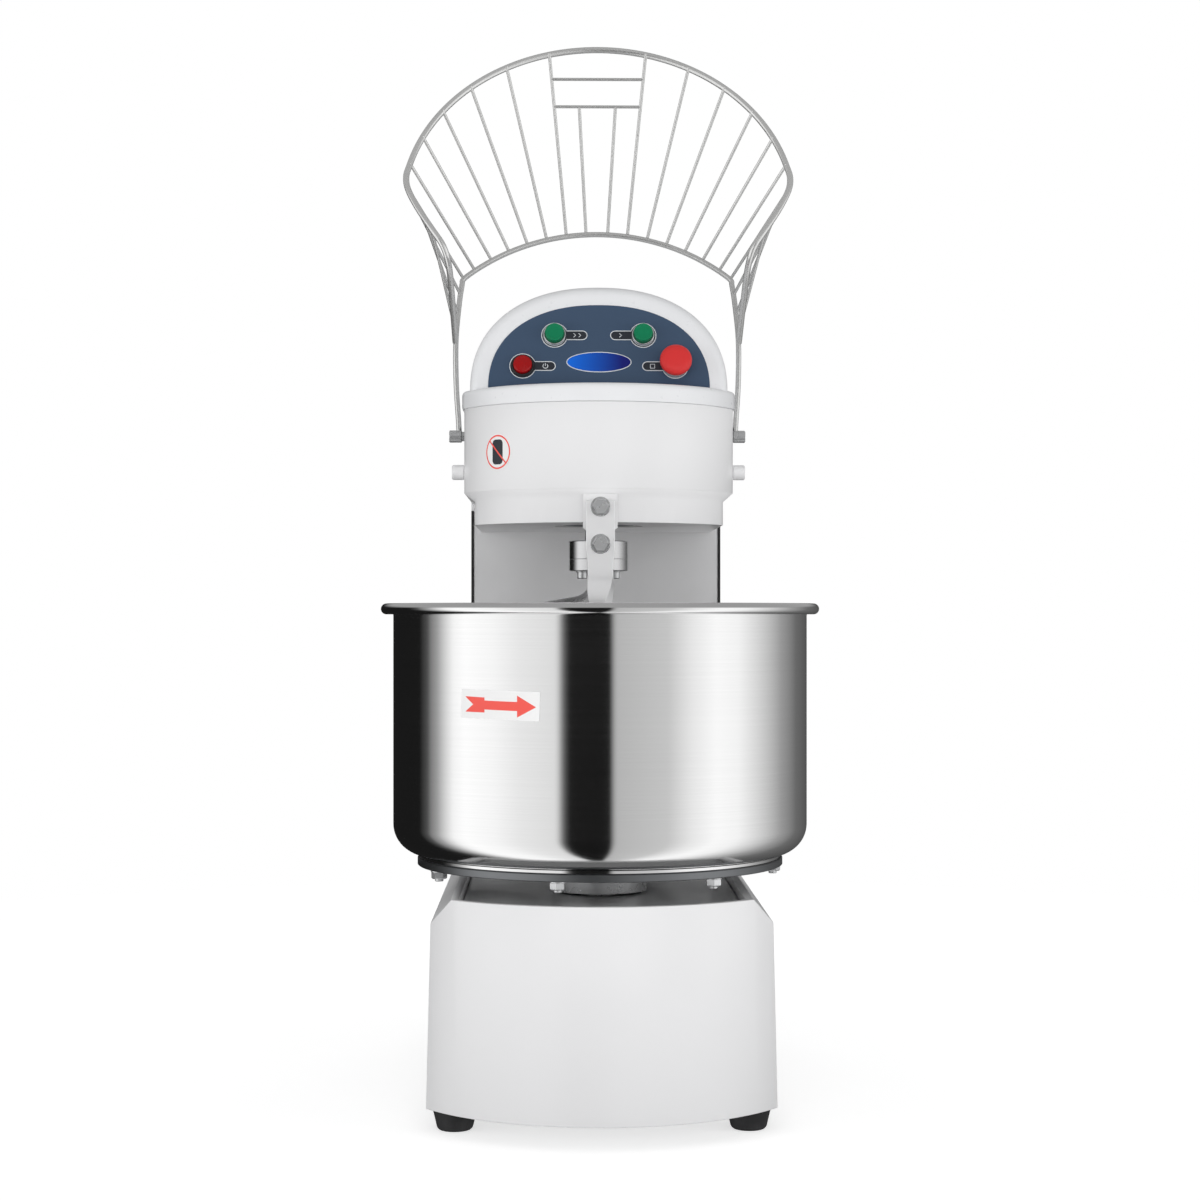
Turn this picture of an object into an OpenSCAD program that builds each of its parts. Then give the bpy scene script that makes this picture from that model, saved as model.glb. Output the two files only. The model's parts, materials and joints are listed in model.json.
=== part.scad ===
/* [Whole machine] */
// Width of the base casing at the floor
base_w = 409; // [400:1:420]
// Height of the base casing's flat top
base_top_z = 271; // [268:0.5:274]
// Width of the column and the head
column_w = 340; // [336:1:344]
// Height of the joint between the head and its top cover
head_top_z = 858; // [856:1:862]
// Back face of the casings, from the middle of the machine
back_y = 418; // [412:1:418]

/* [Bowl] */
// Outside diameter of the bowl
bowl_d = 504; // [496:1:506]
// Height of the top of the bowl's rim
bowl_rim_z = 612; // [600:1:614]
// Thickness of the bowl's sheet
bowl_t = 2; // [1.5:0.1:3]
// Number of studs that hold the bowl to its turntable
bowl_studs = 7; // [4:1:9]

/* [Spiral and breaker bar] */
// Largest radius of the spiral's centre line
spiral_r = 98; // [80:1:100]
// Diameter of the spiral's round bar
spiral_bar_d = 28; // [22:1:30]
// Height of the centre line at the spiral's lowest turn
spiral_low_z = 350; // [345:1:380]
// Width of the breaker bar
bar_w = 31; // [26:1:34]
// Height of the breaker bar's lower end
bar_low_z = 336; // [330:1:370]

/* [Guard] */
// Angle from the closed guard to the raised guard
guard_open = 112.8; // [100:0.2:114]
// Diameter of the guard's outer ring
ring_rod_d = 8; // [7:0.5:8]
// Diameter of the guard's inner rod and arms
arm_rod_d = 7; // [6:0.5:7]
// Diameter of the guard's radial wires
wire_d = 4; // [3:0.5:5]
// Radial wires on each side of the guard
guard_wires_per_side = 7; // [5:1:7]

/* [Controls] */
// Lean of the control face from the vertical
face_lean = 16; // [12:1:20]
// Diameter of the stop button's mushroom head
mushroom_d = 40; // [36:1:42]
// Travel of the two start buttons
button_travel = 3; // [2:0.5:3]
// Travel of the stop button
stop_travel = 5; // [3:0.5:6]

/* [Hidden] */
sheet = 2.5;
smooth = 180;

// Places of the two upright axes and of the shafts behind them
bowl_y = -165;
spin_y = -40;
shaft_x = 85;
shaft_y = 235;
motor_x = -70;
motor_y = 315;

// Base casing
foot_h = 24;
foot_x = 171;
foot_front_y = -305;
foot_back_y = 382;
base_arc_r = 250;
base_shoulder_w = 398;
base_shoulder_z = 241;
base_flat_w = 348;
plate_w = 326;
plate_arc_r = 238.5;
plate_back_y = 165;
plate_top_z = base_top_z - 11;
plate_t = 4;
plate_gap = 1.5;
ledge_w = 8;
floor_t = 3;

// Column
column_front_y = 173;
trim_w = 3.5;
panel_t = 2;
cover_t = 2;
cover_screw_zs = [310, 440, 570, 700, 830];
cover_screw_x = 148;

// Head
head_low_z = 752;
head_arc_y = -5;
head_arc_r = 180;
lower_w = 312;
lower_arc_r = 176;
lower_low_z = 711;
lower_bevel_z = 740;
frame_plate_t = 8;
frame_top_z = head_low_z + frame_plate_t;

// Top cover and its control face
skirt_w = 345.4;
skirt_arc_r = 183;
skirt_top_z = head_top_z + 23;
dome_a = 162;
dome_b = 134;
dome_power = 2.25;
cover_wall = 3;
face_y = -95;
dome_back_lean = 22;
overlay_a = 139;
overlay_b = 112;
overlay_t = 0.8;
start_x = 55.8;
start_h = 72.3;
low_x = 95.8;
low_h = 30.7;
badge_h = 36;
bezel_r = 14.75;
bezel_h = 5.8;
bezel_hole_r = 12;
barrel_r = 11;
barrel_bore_r = 10;
barrel_back = -18;
cap_top = 13;
mushroom_bottom = 18;
mushroom_top = 30;

// Bowl and its drive
bowl_r = bowl_d / 2;
bowl_low_z = 309;
bowl_corner_r = 36;
bead_r = 6.6;
rim_r = 267;
ring_r = 219.5;
ring_t = 4.6;
turntable_r = 222.5;
turntable_t = 9;
turntable_top_z = bowl_low_z - ring_t;
turntable_low_z = turntable_top_z - turntable_t;
stud_circle_r = 211;
stud_r = 5;
stud_first_angle = -155.5;
hub_r = 58;
hub_low_z = plate_top_z + 3;
bowl_shaft_r = 20;
bowl_shaft_low_z = 80;
bearing_gap = 0.05;
bowl_bearing_r = 40;

// Spiral drive
spiral_shaft_r = 17.5;
flange_r = 38;
flange_top_z = 692;
flange_mid_z = 669;
flange_low_z = 654;
flange_circle_r = 29;
flange_bolt_r = 4;
spiral_bearing_r = 36;
housing_low_z = 712;
housing_top_z = 786;

// Chains and belts
chain_pitch = 12.7;
chain_z_head = 802;
chain_z_base = 110;
tooth_t = 7;
link_half_w = 6;
link_t = 1.5;
link_z = 4.6;
link_pin_r = 2.2;
bowl_teeth = 60;
low_shaft_teeth = 12;
top_shaft_teeth = 36;
spiral_teeth = 18;
drive_shaft_r = 12.5;
drive_shaft_low_z = 36;
drive_shaft_top_z = 812;
big_pulley_r = 130;
small_pulley_r = 26;
belt_zs = [822, 836];
belt_w = 11;
belt_h = 8;
pulley_low_z = 814;
pulley_top_z = 845;

// Motor
motor_r = 75;
motor_low_z = 500;
motor_flange_r = 80;
motor_shaft_r = 12;

// Breaker bar
bracket_w = 42;
bracket_foot_w = 28;
bracket_step_z = 698;
bracket_t = 8;
bracket_low_z = 670;
bracket_top_z = 745;
bar_t = 12;
bar_head_w = 35;
bar_top_z = 737;
bar_twist_z = 647;
bar_twist_h = 60;
bar_bolt_zs = [729, 684];
bracket_front_y = head_arc_y - lower_arc_r - bracket_t;

// Guard, in its closed position about its hinge: s is forward of the hinge, t above it
pivot_y = 45;
pivot_z = 832;
pin_r = 8;
pin_tip_x = 194;
rod_hole_x = 181;
ring_arc_a = 248.5;
ring_arc_b = 236;
ring_arc_s = 224;
ring_t_off = -207;
ring_arc_end = 80;
inner_arc_r = 272;
inner_front_s = 266;
inner_front_t = -68;
inner_corner_angle = 40.5;
stop_stud_y = -52;
stop_stud_z = 779;
stop_stud_r = 9.5;
stop_stud_x = 186;
crossbar_at = [0.138, 0.285];

// Points and paths
function unit(v) = v / norm(v);
function catmull(a, b, c, d, u) =
    0.5 * (2 * b + (c - a) * u + (2 * a - 5 * b + 4 * c - d) * u * u
        + (3 * b - a - 3 * c + d) * u * u * u);
function smooth_path(p, steps) = [
    for (i = [0 : len(p) - 2])
        for (k = [0 : steps - (i == len(p) - 2 ? 0 : 1)])
            catmull(
                i == 0 ? 2 * p[0] - p[1] : p[i - 1], p[i], p[i + 1],
                i == len(p) - 2 ? 2 * p[i + 1] - p[i] : p[i + 2], k / steps
            )
];
function tangents(p) = [
    for (i = [0 : len(p) - 1]) unit(p[min(i + 1, len(p) - 1)] - p[max(i - 1, 0)])
];
function square_off(n, t) = unit(n - (n * t) * t);
function carried(t) = [
    for (i = 0, n = square_off([0.31, 0.17, 0.93], t[0]); i < len(t);
        i = i + 1, n = i < len(t) ? square_off(n, t[i]) : n) n
];
function mirrored(p) = [for (i = [len(p) - 1 : -1 : 0]) [-p[i][0], p[i][1], p[i][2]]];
function pitch_r(teeth) = chain_pitch / (2 * sin(180 / teeth));

// A round bar of radius r along a path
module bar_along(path, r, sides = 12) {
    count = len(path);
    t = tangents(path);
    n = carried(t);
    points = [
        for (i = [0 : count - 1]) for (k = [0 : sides - 1])
            path[i] + r * (cos(360 * k / sides) * n[i]
                + sin(360 * k / sides) * cross(t[i], n[i]))
    ];
    walls = [
        for (i = [0 : count - 2]) for (k = [0 : sides - 1])
            let (a = i * sides + k, b = i * sides + (k + 1) % sides)
            each [[a, a + sides, b], [b, a + sides, b + sides]]
    ];
    start_cap = [for (k = [0 : sides - 1]) k];
    end_cap = [for (k = [sides - 1 : -1 : 0]) (count - 1) * sides + k];
    polyhedron(points, concat(walls, [start_cap, end_cap]));
}

// A round bar between two points
module wire(a, b, r) {
    v = b - a;
    translate(a) rotate([0, acos(v[2] / norm(v)), atan2(v[1], v[0])])
        cylinder(r = r, h = norm(v), $fn = 24);
}

// A tube standing at [x, y] from one height to another
module tube_z(r_out, r_in, z0, z1, x = 0, y = 0) {
    translate([x, y, z0]) difference() {
        cylinder(r = r_out, h = z1 - z0, $fn = smooth);
        translate([0, 0, -1]) cylinder(r = r_in, h = z1 - z0 + 2, $fn = smooth);
    }
}

module disc_z(r, z0, z1, x = 0, y = 0) {
    translate([x, y, z0]) cylinder(r = r, h = z1 - z0, $fn = smooth);
}

// Six-sided bolt head or nut of a given size across its flats
module hexagon_z(across, z0, z1, x = 0, y = 0) {
    translate([x, y, z0]) cylinder(d = across / cos(30), h = z1 - z0, $fn = 6);
}

// Plan outline with straight sides and a round front about [0, arc_y]
module round_front(w, arc_r, arc_y, back) {
    intersection() {
        translate([-w / 2, arc_y - arc_r - 1]) square([w, back - arc_y + arc_r + 1]);
        union() {
            translate([0, arc_y]) circle(r = arc_r, $fn = smooth);
            translate([-w / 2, arc_y]) square([w, back - arc_y]);
        }
    }
}

module head_plan(inset, back) {
    round_front(column_w - 2 * inset, head_arc_r - inset, head_arc_y, back);
}

// Places children on the control face, x across and h up the slope, outward along +Z
module on_face(x, h) {
    translate([x, face_y + h * sin(face_lean), skirt_top_z + h * cos(face_lean)])
        rotate([90 - face_lean, 0, 0]) children();
}

// Band round two circles, the outline of a belt or a chain
module loop_2d(r1, r2, span) {
    a = acos((r1 - r2) / span);
    steps = 40;
    polygon(concat(
        [for (k = [0 : steps]) let (w = a + (360 - 2 * a) * k / steps) r1 * [cos(w), sin(w)]],
        [for (k = [0 : steps]) let (w = -a + 2 * a * k / steps) [span, 0] + r2 * [cos(w), sin(w)]]
    ));
}

module loop_band(r1, r2, from, to, half_w, z0, z1) {
    span = norm(to - from);
    way = to - from;
    translate([from[0], from[1], z0]) rotate([0, 0, atan2(way[1], way[0])])
        linear_extrude(z1 - z0) difference() {
            loop_2d(r1 + half_w, r2 + half_w, span);
            loop_2d(r1 - half_w, r2 - half_w, span);
        }
}

// Pins on the two straight runs between two sprockets
module chain_pins(r1, r2, from, to, z) {
    span = norm(to - from);
    way = to - from;
    a = acos((r1 - r2) / span);
    run = span * sin(a);
    clear = 43;
    count = floor((run - clear - 23) / (2 * chain_pitch));
    pin_half_h = link_z + link_t + 0.6;
    for (side = [-1, 1]) for (k = [0 : count - 1])
        translate([from[0], from[1], z - pin_half_h]) rotate([0, 0, atan2(way[1], way[0])])
            rotate([0, 0, side * a]) translate([r1, 0, 0]) rotate([0, 0, -side * 90])
                translate([clear + k * 2 * chain_pitch, 0, 0])
                    cylinder(r = link_pin_r, h = 2 * pin_half_h, $fn = 24);
}

module chain(teeth1, teeth2, from, to, z) {
    r1 = pitch_r(teeth1);
    r2 = pitch_r(teeth2);
    for (side = [-1, 1])
        loop_band(r1, r2, from, to, link_half_w,
            z + side * (link_z + link_t / 2) - link_t / 2,
            z + side * (link_z + link_t / 2) + link_t / 2);
    chain_pins(r1, r2, from, to, z);
}

// Sprocket disc with teeth, its hub from z0 to z1 and its bore
module sprocket(teeth, z, hub_r, z0, z1) {
    r = pitch_r(teeth);
    difference() {
        union() {
            difference() {
                disc_z(r + 3.6, z - tooth_t / 2, z + tooth_t / 2);
                for (k = [0 : teeth - 1]) rotate([0, 0, (k + 0.5) * 360 / teeth])
                    translate([r, 0, z - tooth_t]) cylinder(r = 4.2, h = 2 * tooth_t, $fn = 20);
            }
            disc_z(hub_r, z0, z1);
        }
        children();
    }
}

// Pulley with one groove for each belt
module pulley(r, hub_r, z0, z1) {
    difference() {
        union() {
            disc_z(r + 3, z0, z1);
            disc_z(hub_r, z0 - 2, z1 + 1);
        }
        for (z = belt_zs) tube_z(r + 10, r - 5, z - 6, z + 6);
        if (r > 60) {
            for (k = [0 : 5]) rotate([0, 0, k * 60]) translate([r * 0.58, 0, 0])
                disc_z(r * 0.2, z0 - 3, z1 + 3);
        }
    }
}

// Base ------------------------------------------------------------------------------------

module foot_places() {
    for (x = [-foot_x, foot_x]) for (y = [foot_front_y, foot_back_y]) translate([x, y, 0]) children();
}

module rubber_feet() {
    color([0.1, 0.1, 0.11]) foot_places() difference() {
        union() {
            cylinder(r1 = 18, r2 = 21, h = 3, $fn = 72);
            translate([0, 0, 3]) cylinder(r1 = 21, r2 = 26, h = foot_h - 3, $fn = 72);
        }
        translate([0, 0, -1]) cylinder(r = 8, h = 11, $fn = 48);
        cylinder(r = 4.2, h = foot_h + 1, $fn = 48);
    }
}

module foot_bolts() {
    color("silver") foot_places() {
        hexagon_z(12, 5, 10);
        translate([0, 0, 9]) cylinder(r = 4, h = 26, $fn = 48);
        hexagon_z(13, foot_h + floor_t, foot_h + floor_t + 6);
    }
}

// Solid shape of the base casing, drawn in by an inset
module base_form(inset) {
    half = base_w / 2 - inset;
    shoulder = base_shoulder_w / 2 - inset;
    flat = base_flat_w / 2 - inset * 0.6;
    intersection() {
        translate([0, back_y - inset, 0]) rotate([90, 0, 0])
            linear_extrude(back_y - inset + 500)
                polygon([
                    [-half, foot_h], [half, foot_h], [shoulder, base_shoulder_z - inset * 0.4],
                    [flat, base_top_z - inset], [-flat, base_top_z - inset],
                    [-shoulder, base_shoulder_z - inset * 0.4]
                ]);
        linear_extrude(400)
            round_front(base_w + 10, base_arc_r - inset, bowl_y, back_y - inset);
    }
}

module top_opening(grow) {
    round_front(plate_w + 2 * grow, plate_arc_r + grow, bowl_y, plate_back_y + grow);
}

module base_shell() {
    color([0.93, 0.93, 0.94]) difference() {
        union() {
            difference() {
                base_form(0);
                base_form(sheet);
            }
            translate([0, 0, plate_top_z - plate_t - 3])
                linear_extrude(base_top_z - plate_top_z + plate_t + 2.5) difference() {
                    top_opening(plate_gap + sheet);
                    top_opening(plate_gap);
                }
            translate([0, 0, plate_top_z - plate_t - 3]) linear_extrude(3) difference() {
                top_opening(plate_gap + 1);
                top_opening(-ledge_w);
            }
        }
        translate([0, 0, plate_top_z - plate_t]) linear_extrude(40) top_opening(plate_gap);
        translate([-148, column_front_y + 14, base_top_z - 20]) cube([296, back_y - column_front_y - 30, 40]);
        translate([110, back_y + 5, 90]) rotate([90, 0, 0]) cylinder(r = 10.2, h = 20, $fn = 60);
    }
}

module base_floor_plate() {
    color([0.6, 0.6, 0.62]) difference() {
        translate([0, 0, foot_h]) linear_extrude(floor_t)
            round_front(base_w - 2 * sheet - 0.3, base_arc_r - sheet, bowl_y, back_y - sheet);
        foot_places() translate([0, 0, foot_h - 1]) cylinder(r = 4.3, h = floor_t + 2, $fn = 48);
        for (k = [-3 : 3]) translate([k * 34, 40, foot_h - 1]) linear_extrude(floor_t + 2)
            square([12, 120], center = true);
    }
}

module base_top_plate() {
    color([0.88, 0.88, 0.89]) difference() {
        translate([0, 0, plate_top_z - plate_t]) linear_extrude(plate_t) top_opening(0);
        disc_z(52, 200, 300, 0, bowl_y);
    }
}

// Column ------------------------------------------------------------------------------------

module column_shell() {
    color([0.93, 0.93, 0.94]) difference() {
        translate([-column_w / 2, column_front_y, base_top_z])
            cube([column_w, back_y - column_front_y, head_top_z - base_top_z]);
        translate([-column_w / 2 + sheet, column_front_y + sheet, base_top_z - 1])
            cube([column_w - 2 * sheet, back_y - column_front_y - 2 * sheet, 700]);
        translate([-145, column_front_y - 1, base_top_z + 20]) cube([290, sheet + 2, 450]);
        translate([-column_w / 2 + sheet, column_front_y - 1, head_low_z]) cube([column_w - 2 * sheet, 10, 200]);
        translate([-138, back_y - 10, base_top_z + 22]) cube([276, 20, head_top_z - base_top_z - 44]);
        cover_screw_places(3);
    }
}

module column_front_panel() {
    color([0.62, 0.63, 0.65])
        translate([-column_w / 2 + trim_w + 0.5, column_front_y - panel_t, base_top_z])
            cube([column_w - 2 * trim_w - 1, panel_t, head_low_z - base_top_z]);
}

module column_edge_trims() {
    color([0.08, 0.08, 0.08]) for (side = [-1, 1])
        translate([side * (column_w / 2 - trim_w / 2), column_front_y - 1.5, (base_top_z + lower_bevel_z) / 2])
            cube([trim_w, 3, lower_bevel_z - base_top_z], center = true);
}

module cover_screw_places(r) {
    for (x = [-cover_screw_x, cover_screw_x]) for (z = cover_screw_zs)
        translate([x, back_y - 12, z]) rotate([-90, 0, 0]) cylinder(r = r, h = 30, $fn = 40);
}

module rear_cover() {
    color([0.9, 0.9, 0.91]) difference() {
        translate([-162, back_y, base_top_z + 10]) cube([324, cover_t, head_top_z - base_top_z - 14]);
        cover_screw_places(3.1);
        for (x = [-cover_screw_x, cover_screw_x]) for (z = cover_screw_zs)
            translate([x, back_y, z]) rotate([-90, 0, 0]) cylinder(r1 = 3.1, r2 = 5.6, h = cover_t, $fn = 40);
        for (k = [0 : 6]) translate([-60, back_y - 1, 520 + k * 16]) cube([120, cover_t + 2, 6]);
    }
}

module rear_cover_screws() {
    color("silver") for (x = [-cover_screw_x, cover_screw_x]) for (z = cover_screw_zs)
        translate([x, back_y, z]) rotate([-90, 0, 0]) {
            translate([0, 0, -9]) cylinder(r = 2.95, h = 9.5, $fn = 40);
            cylinder(r1 = 2.95, r2 = 5.3, h = cover_t, $fn = 40);
        }
}

// Head ------------------------------------------------------------------------------------

// Solid of the lower head, with the bevel that widens it to the upper head
module lower_form(inset) {
    half = lower_w / 2 - inset;
    top = column_w / 2 - inset;
    low_r = lower_arc_r - inset;
    top_r = head_arc_r - inset;
    intersection() {
        translate([0, column_front_y - panel_t, 0]) rotate([90, 0, 0])
            linear_extrude(column_front_y + 300)
                polygon([
                    [-half, lower_low_z], [half, lower_low_z], [half, lower_bevel_z],
                    [top, head_low_z], [-top, head_low_z], [-half, lower_bevel_z]
                ]);
        union() {
            translate([0, head_arc_y, lower_low_z])
                cylinder(r = low_r, h = lower_bevel_z - lower_low_z, $fn = smooth);
            translate([0, head_arc_y, lower_bevel_z])
                cylinder(r1 = low_r, r2 = top_r, h = head_low_z - lower_bevel_z, $fn = smooth);
            translate([-200, head_arc_y, lower_low_z]) cube([400, 200, head_low_z - lower_low_z]);
        }
    }
}

module head_lower_box() {
    color([0.93, 0.93, 0.94]) difference() {
        lower_form(0);
        intersection() {
            lower_form(sheet);
            translate([-200, -200, lower_low_z + sheet]) cube([400, 368, 100]);
        }
        disc_z(56, lower_low_z - 1, lower_low_z + 10, 0, spin_y);
        for (z = bar_bolt_zs) if (z > lower_low_z)
            translate([0, -150, z]) rotate([90, 0, 0]) cylinder(r = 6.2, h = 60, $fn = 48);
    }
}

module head_box() {
    color([0.93, 0.93, 0.94]) difference() {
        translate([0, 0, head_low_z]) linear_extrude(head_top_z - head_low_z) difference() {
            head_plan(0, column_front_y);
            head_plan(sheet, column_front_y + 1);
        }
        for (side = [-1, 1]) translate([side * (column_w / 2 - 5), pivot_y, pivot_z])
            rotate([0, side * 90, 0]) cylinder(r = 11, h = 10, $fn = 60);
    }
}

// Thick plate that carries the spiral, the motor and the upper end of the drive shaft
module head_frame_plate() {
    color([0.45, 0.46, 0.48]) difference() {
        translate([0, 0, head_low_z]) linear_extrude(frame_plate_t) union() {
            head_plan(sheet, column_front_y);
            translate([-150, 0]) square([300, back_y - 12]);
        }
        disc_z(46, 700, 800, 0, spin_y);
        disc_z(16, 700, 800, shaft_x, shaft_y);
        disc_z(20, 700, 800, motor_x, motor_y);
        motor_bolt_places() disc_z(5.2, 700, 800);
        for (k = [0 : 3]) translate([0, spin_y, 0]) rotate([0, 0, 45 + 90 * k]) translate([62, 0, 0])
            disc_z(5.2, 700, 800);
    }
}

// Outline of the dome, a half oval with full shoulders
function dome_points(a, b) = [
    for (k = [0 : 48]) let (w = 180 * k / 48)
        [a * sign(cos(w)) * pow(abs(cos(w)), 2 / dome_power), b * pow(sin(w), 2 / dome_power)]
];

module dome_form(inset) {
    front = face_y + inset / cos(face_lean);
    back = back_y - 4 - inset;
    low = skirt_top_z - 12;
    high = skirt_top_z + dome_b + 5;
    intersection() {
        translate([0, back_y, 0]) rotate([90, 0, 0]) linear_extrude(back_y + 200)
            union() {
                translate([0, skirt_top_z]) polygon(dome_points(dome_a - inset, dome_b - inset));
                translate([-dome_a + inset, low]) square([2 * (dome_a - inset), skirt_top_z - low + 0.1]);
            }
        translate([-200, 0, 0]) rotate([90, 0, 90]) linear_extrude(400)
            polygon([
                [front + (low - skirt_top_z) * tan(face_lean), low],
                [front + (high - skirt_top_z) * tan(face_lean), high],
                [back - (high - low) * tan(dome_back_lean), high],
                [back, low]
            ]);
    }
}

module top_cover() {
    color([0.94, 0.94, 0.95]) difference() {
        union() {
            translate([0, 0, head_top_z]) linear_extrude(skirt_top_z - head_top_z)
                round_front(skirt_w, skirt_arc_r, head_arc_y, back_y);
            dome_form(0);
        }
        translate([0, 0, head_top_z - 1]) linear_extrude(skirt_top_z - head_top_z - cover_wall + 1)
            round_front(skirt_w - 11, skirt_arc_r - 5.5, head_arc_y, back_y - 5);
        dome_form(cover_wall);
        for (x = [-start_x, start_x]) on_face(x, start_h)
            translate([0, 0, -20]) cylinder(r = barrel_r + 0.1, h = 40, $fn = 60);
        for (x = [-low_x, low_x]) on_face(x, low_h)
            translate([0, 0, -20]) cylinder(r = barrel_r + 0.1, h = 40, $fn = 60);
    }
}

module control_overlay() {
    color([0.27, 0.33, 0.42]) difference() {
        on_face(0, 1.5) linear_extrude(overlay_t) polygon([
            for (k = [0 : 60]) let (w = 3 * k)
                [overlay_a * sign(cos(w)) * pow(abs(cos(w)), 2 / dome_power),
                    overlay_b * pow(sin(w), 2 / dome_power)]
        ]);
        for (x = [-start_x, start_x]) on_face(x, start_h)
            translate([0, 0, -20]) cylinder(r = barrel_r + 0.2, h = 40, $fn = 60);
        for (x = [-low_x, low_x]) on_face(x, low_h)
            translate([0, 0, -20]) cylinder(r = barrel_r + 0.2, h = 40, $fn = 60);
    }
}

// Plain blue oval badge
module panel_badge() {
    color([0.1, 0.25, 0.75]) on_face(0, badge_h) translate([0, 0, overlay_t]) linear_extrude(0.8)
        polygon([for (k = [0 : 59]) [40 * cos(6 * k), 12.8 * sin(6 * k)]]);
}

// Ring on the face with a threaded barrel through it
module bezel(x, h, ring_r_out, ring_h, bore) {
    on_face(x, h) difference() {
        union() {
            translate([0, 0, overlay_t]) cylinder(r = ring_r_out, h = ring_h - overlay_t, $fn = 72);
            translate([0, 0, barrel_back]) cylinder(r = barrel_r, h = overlay_t - barrel_back + 0.5, $fn = 60);
        }
        translate([0, 0, barrel_back - 1]) cylinder(r = barrel_bore_r, h = 60, $fn = 60);
        translate([0, 0, overlay_t + 0.8]) cylinder(r = bore, h = 20, $fn = 72);
    }
}

module button_bezels() {
    color("silver") for (x = [-start_x, start_x]) bezel(x, start_h, bezel_r, bezel_h, bezel_hole_r);
}

module lamp_bezel() {
    color("silver") bezel(-low_x, low_h, bezel_r, 5, bezel_hole_r);
}

module stop_button_collar() {
    color([0.75, 0.75, 0.77]) bezel(low_x, low_h, 15.5, 6, 12.6);
}

module contact_blocks() {
    color([0.15, 0.15, 0.16]) {
        for (x = [-start_x, start_x]) on_face(x, start_h) block_behind();
        for (x = [-low_x, low_x]) on_face(x, low_h) block_behind();
    }
}

module block_behind() {
    translate([-14, -14, barrel_back - 36]) cube([28, 28, 36 - button_travel - 3]);
    for (x = [-10, 10]) translate([x, 0, barrel_back - 40]) cube([5, 24, 8], center = true);
}

module power_lamp() {
    color([0.75, 0.02, 0.02]) on_face(-low_x, low_h) rotate_extrude($fn = 72) polygon(concat(
        [[0, barrel_back + 2], [9.5, barrel_back + 2], [9.5, 1.6], [11.8, 1.6], [11.8, 7]],
        [for (k = [1 : 8]) [11.8 * cos(11.25 * k), 7 + 4 * sin(11.25 * k)]]
    ));
}

module button_cap(x) {
    color([0, 0.5, 0.33]) on_face(x, start_h) {
        rotate_extrude($fn = 72) polygon([
            [0, barrel_back + 4], [9.7, barrel_back + 4], [9.7, 4.8], [11.8, 4.8],
            [11.8, cap_top - 1.2], [10.6, cap_top], [9.2, cap_top], [8.6, cap_top - 0.5], [0, cap_top - 0.5]
        ]);
    }
}

module fast_button_cap() {
    button_cap(-start_x);
}

module slow_button_cap() {
    button_cap(start_x);
}

module stop_button_stem() {
    color([0.2, 0.2, 0.2]) on_face(low_x, low_h) {
        translate([0, 0, barrel_back + stop_travel + 1]) cylinder(r = 9.7, h = 16, $fn = 60);
        cylinder(r = 5, h = mushroom_bottom + 2, $fn = 48);
    }
}

module stop_button_head() {
    color([0.88, 0.24, 0.24]) on_face(low_x, low_h) rotate_extrude($fn = 96) polygon(concat(
        [[0, mushroom_top - 9], [5.3, mushroom_top - 9], [5.3, 6.5 + stop_travel],
            [10.5, 6.5 + stop_travel], [10.5, mushroom_bottom - 1]],
        [[mushroom_d / 2 - 1.5, mushroom_bottom], [mushroom_d / 2, mushroom_bottom + 1.5]],
        [for (k = [0 : 10]) [
            mushroom_d / 2 * cos(9 * k), mushroom_bottom + 4.5 + 7.5 * sin(9 * k)]]
    ));
}

// Round sticker that follows the curved front of the head
module safety_sticker() {
    color([0.95, 0.95, 0.95]) intersection() {
        tube_z(head_arc_r + 0.4, head_arc_r, head_low_z, head_top_z, 0, head_arc_y);
        translate([0, head_arc_y, 799.5]) rotate([0, 0, -134.4]) rotate([0, 90, 0])
            translate([0, 0, head_arc_r - 12]) cylinder(r = 22.3, h = 20, $fn = 90);
    }
}

// Breaker bar ------------------------------------------------------------------------------------

module bar_bracket() {
    color([0.9, 0.9, 0.91]) difference() {
        translate([0, bracket_front_y + bracket_t + 6, 0]) rotate([90, 0, 0])
            linear_extrude(bracket_t + 6) polygon([
                [-bracket_w / 2, bracket_top_z], [-bracket_w / 2, bracket_step_z + 6],
                [-bracket_foot_w / 2, bracket_step_z], [-bracket_foot_w / 2, bracket_low_z],
                [bracket_foot_w / 2, bracket_low_z], [bracket_foot_w / 2, bracket_step_z],
                [bracket_w / 2, bracket_step_z + 6], [bracket_w / 2, bracket_top_z]
            ]);
        disc_z(lower_arc_r, lower_low_z, bracket_top_z + 1, 0, head_arc_y);
        translate([0, head_arc_y, lower_bevel_z])
            cylinder(r1 = lower_arc_r, r2 = head_arc_r, h = head_low_z - lower_bevel_z, $fn = smooth);
        for (z = bar_bolt_zs) bar_hole(z);
    }
}

module bar_hole(z) {
    translate([0, bracket_front_y + bracket_t + 20, z]) rotate([90, 0, 0]) cylinder(r = 6.1, h = 60, $fn = 48);
}

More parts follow.
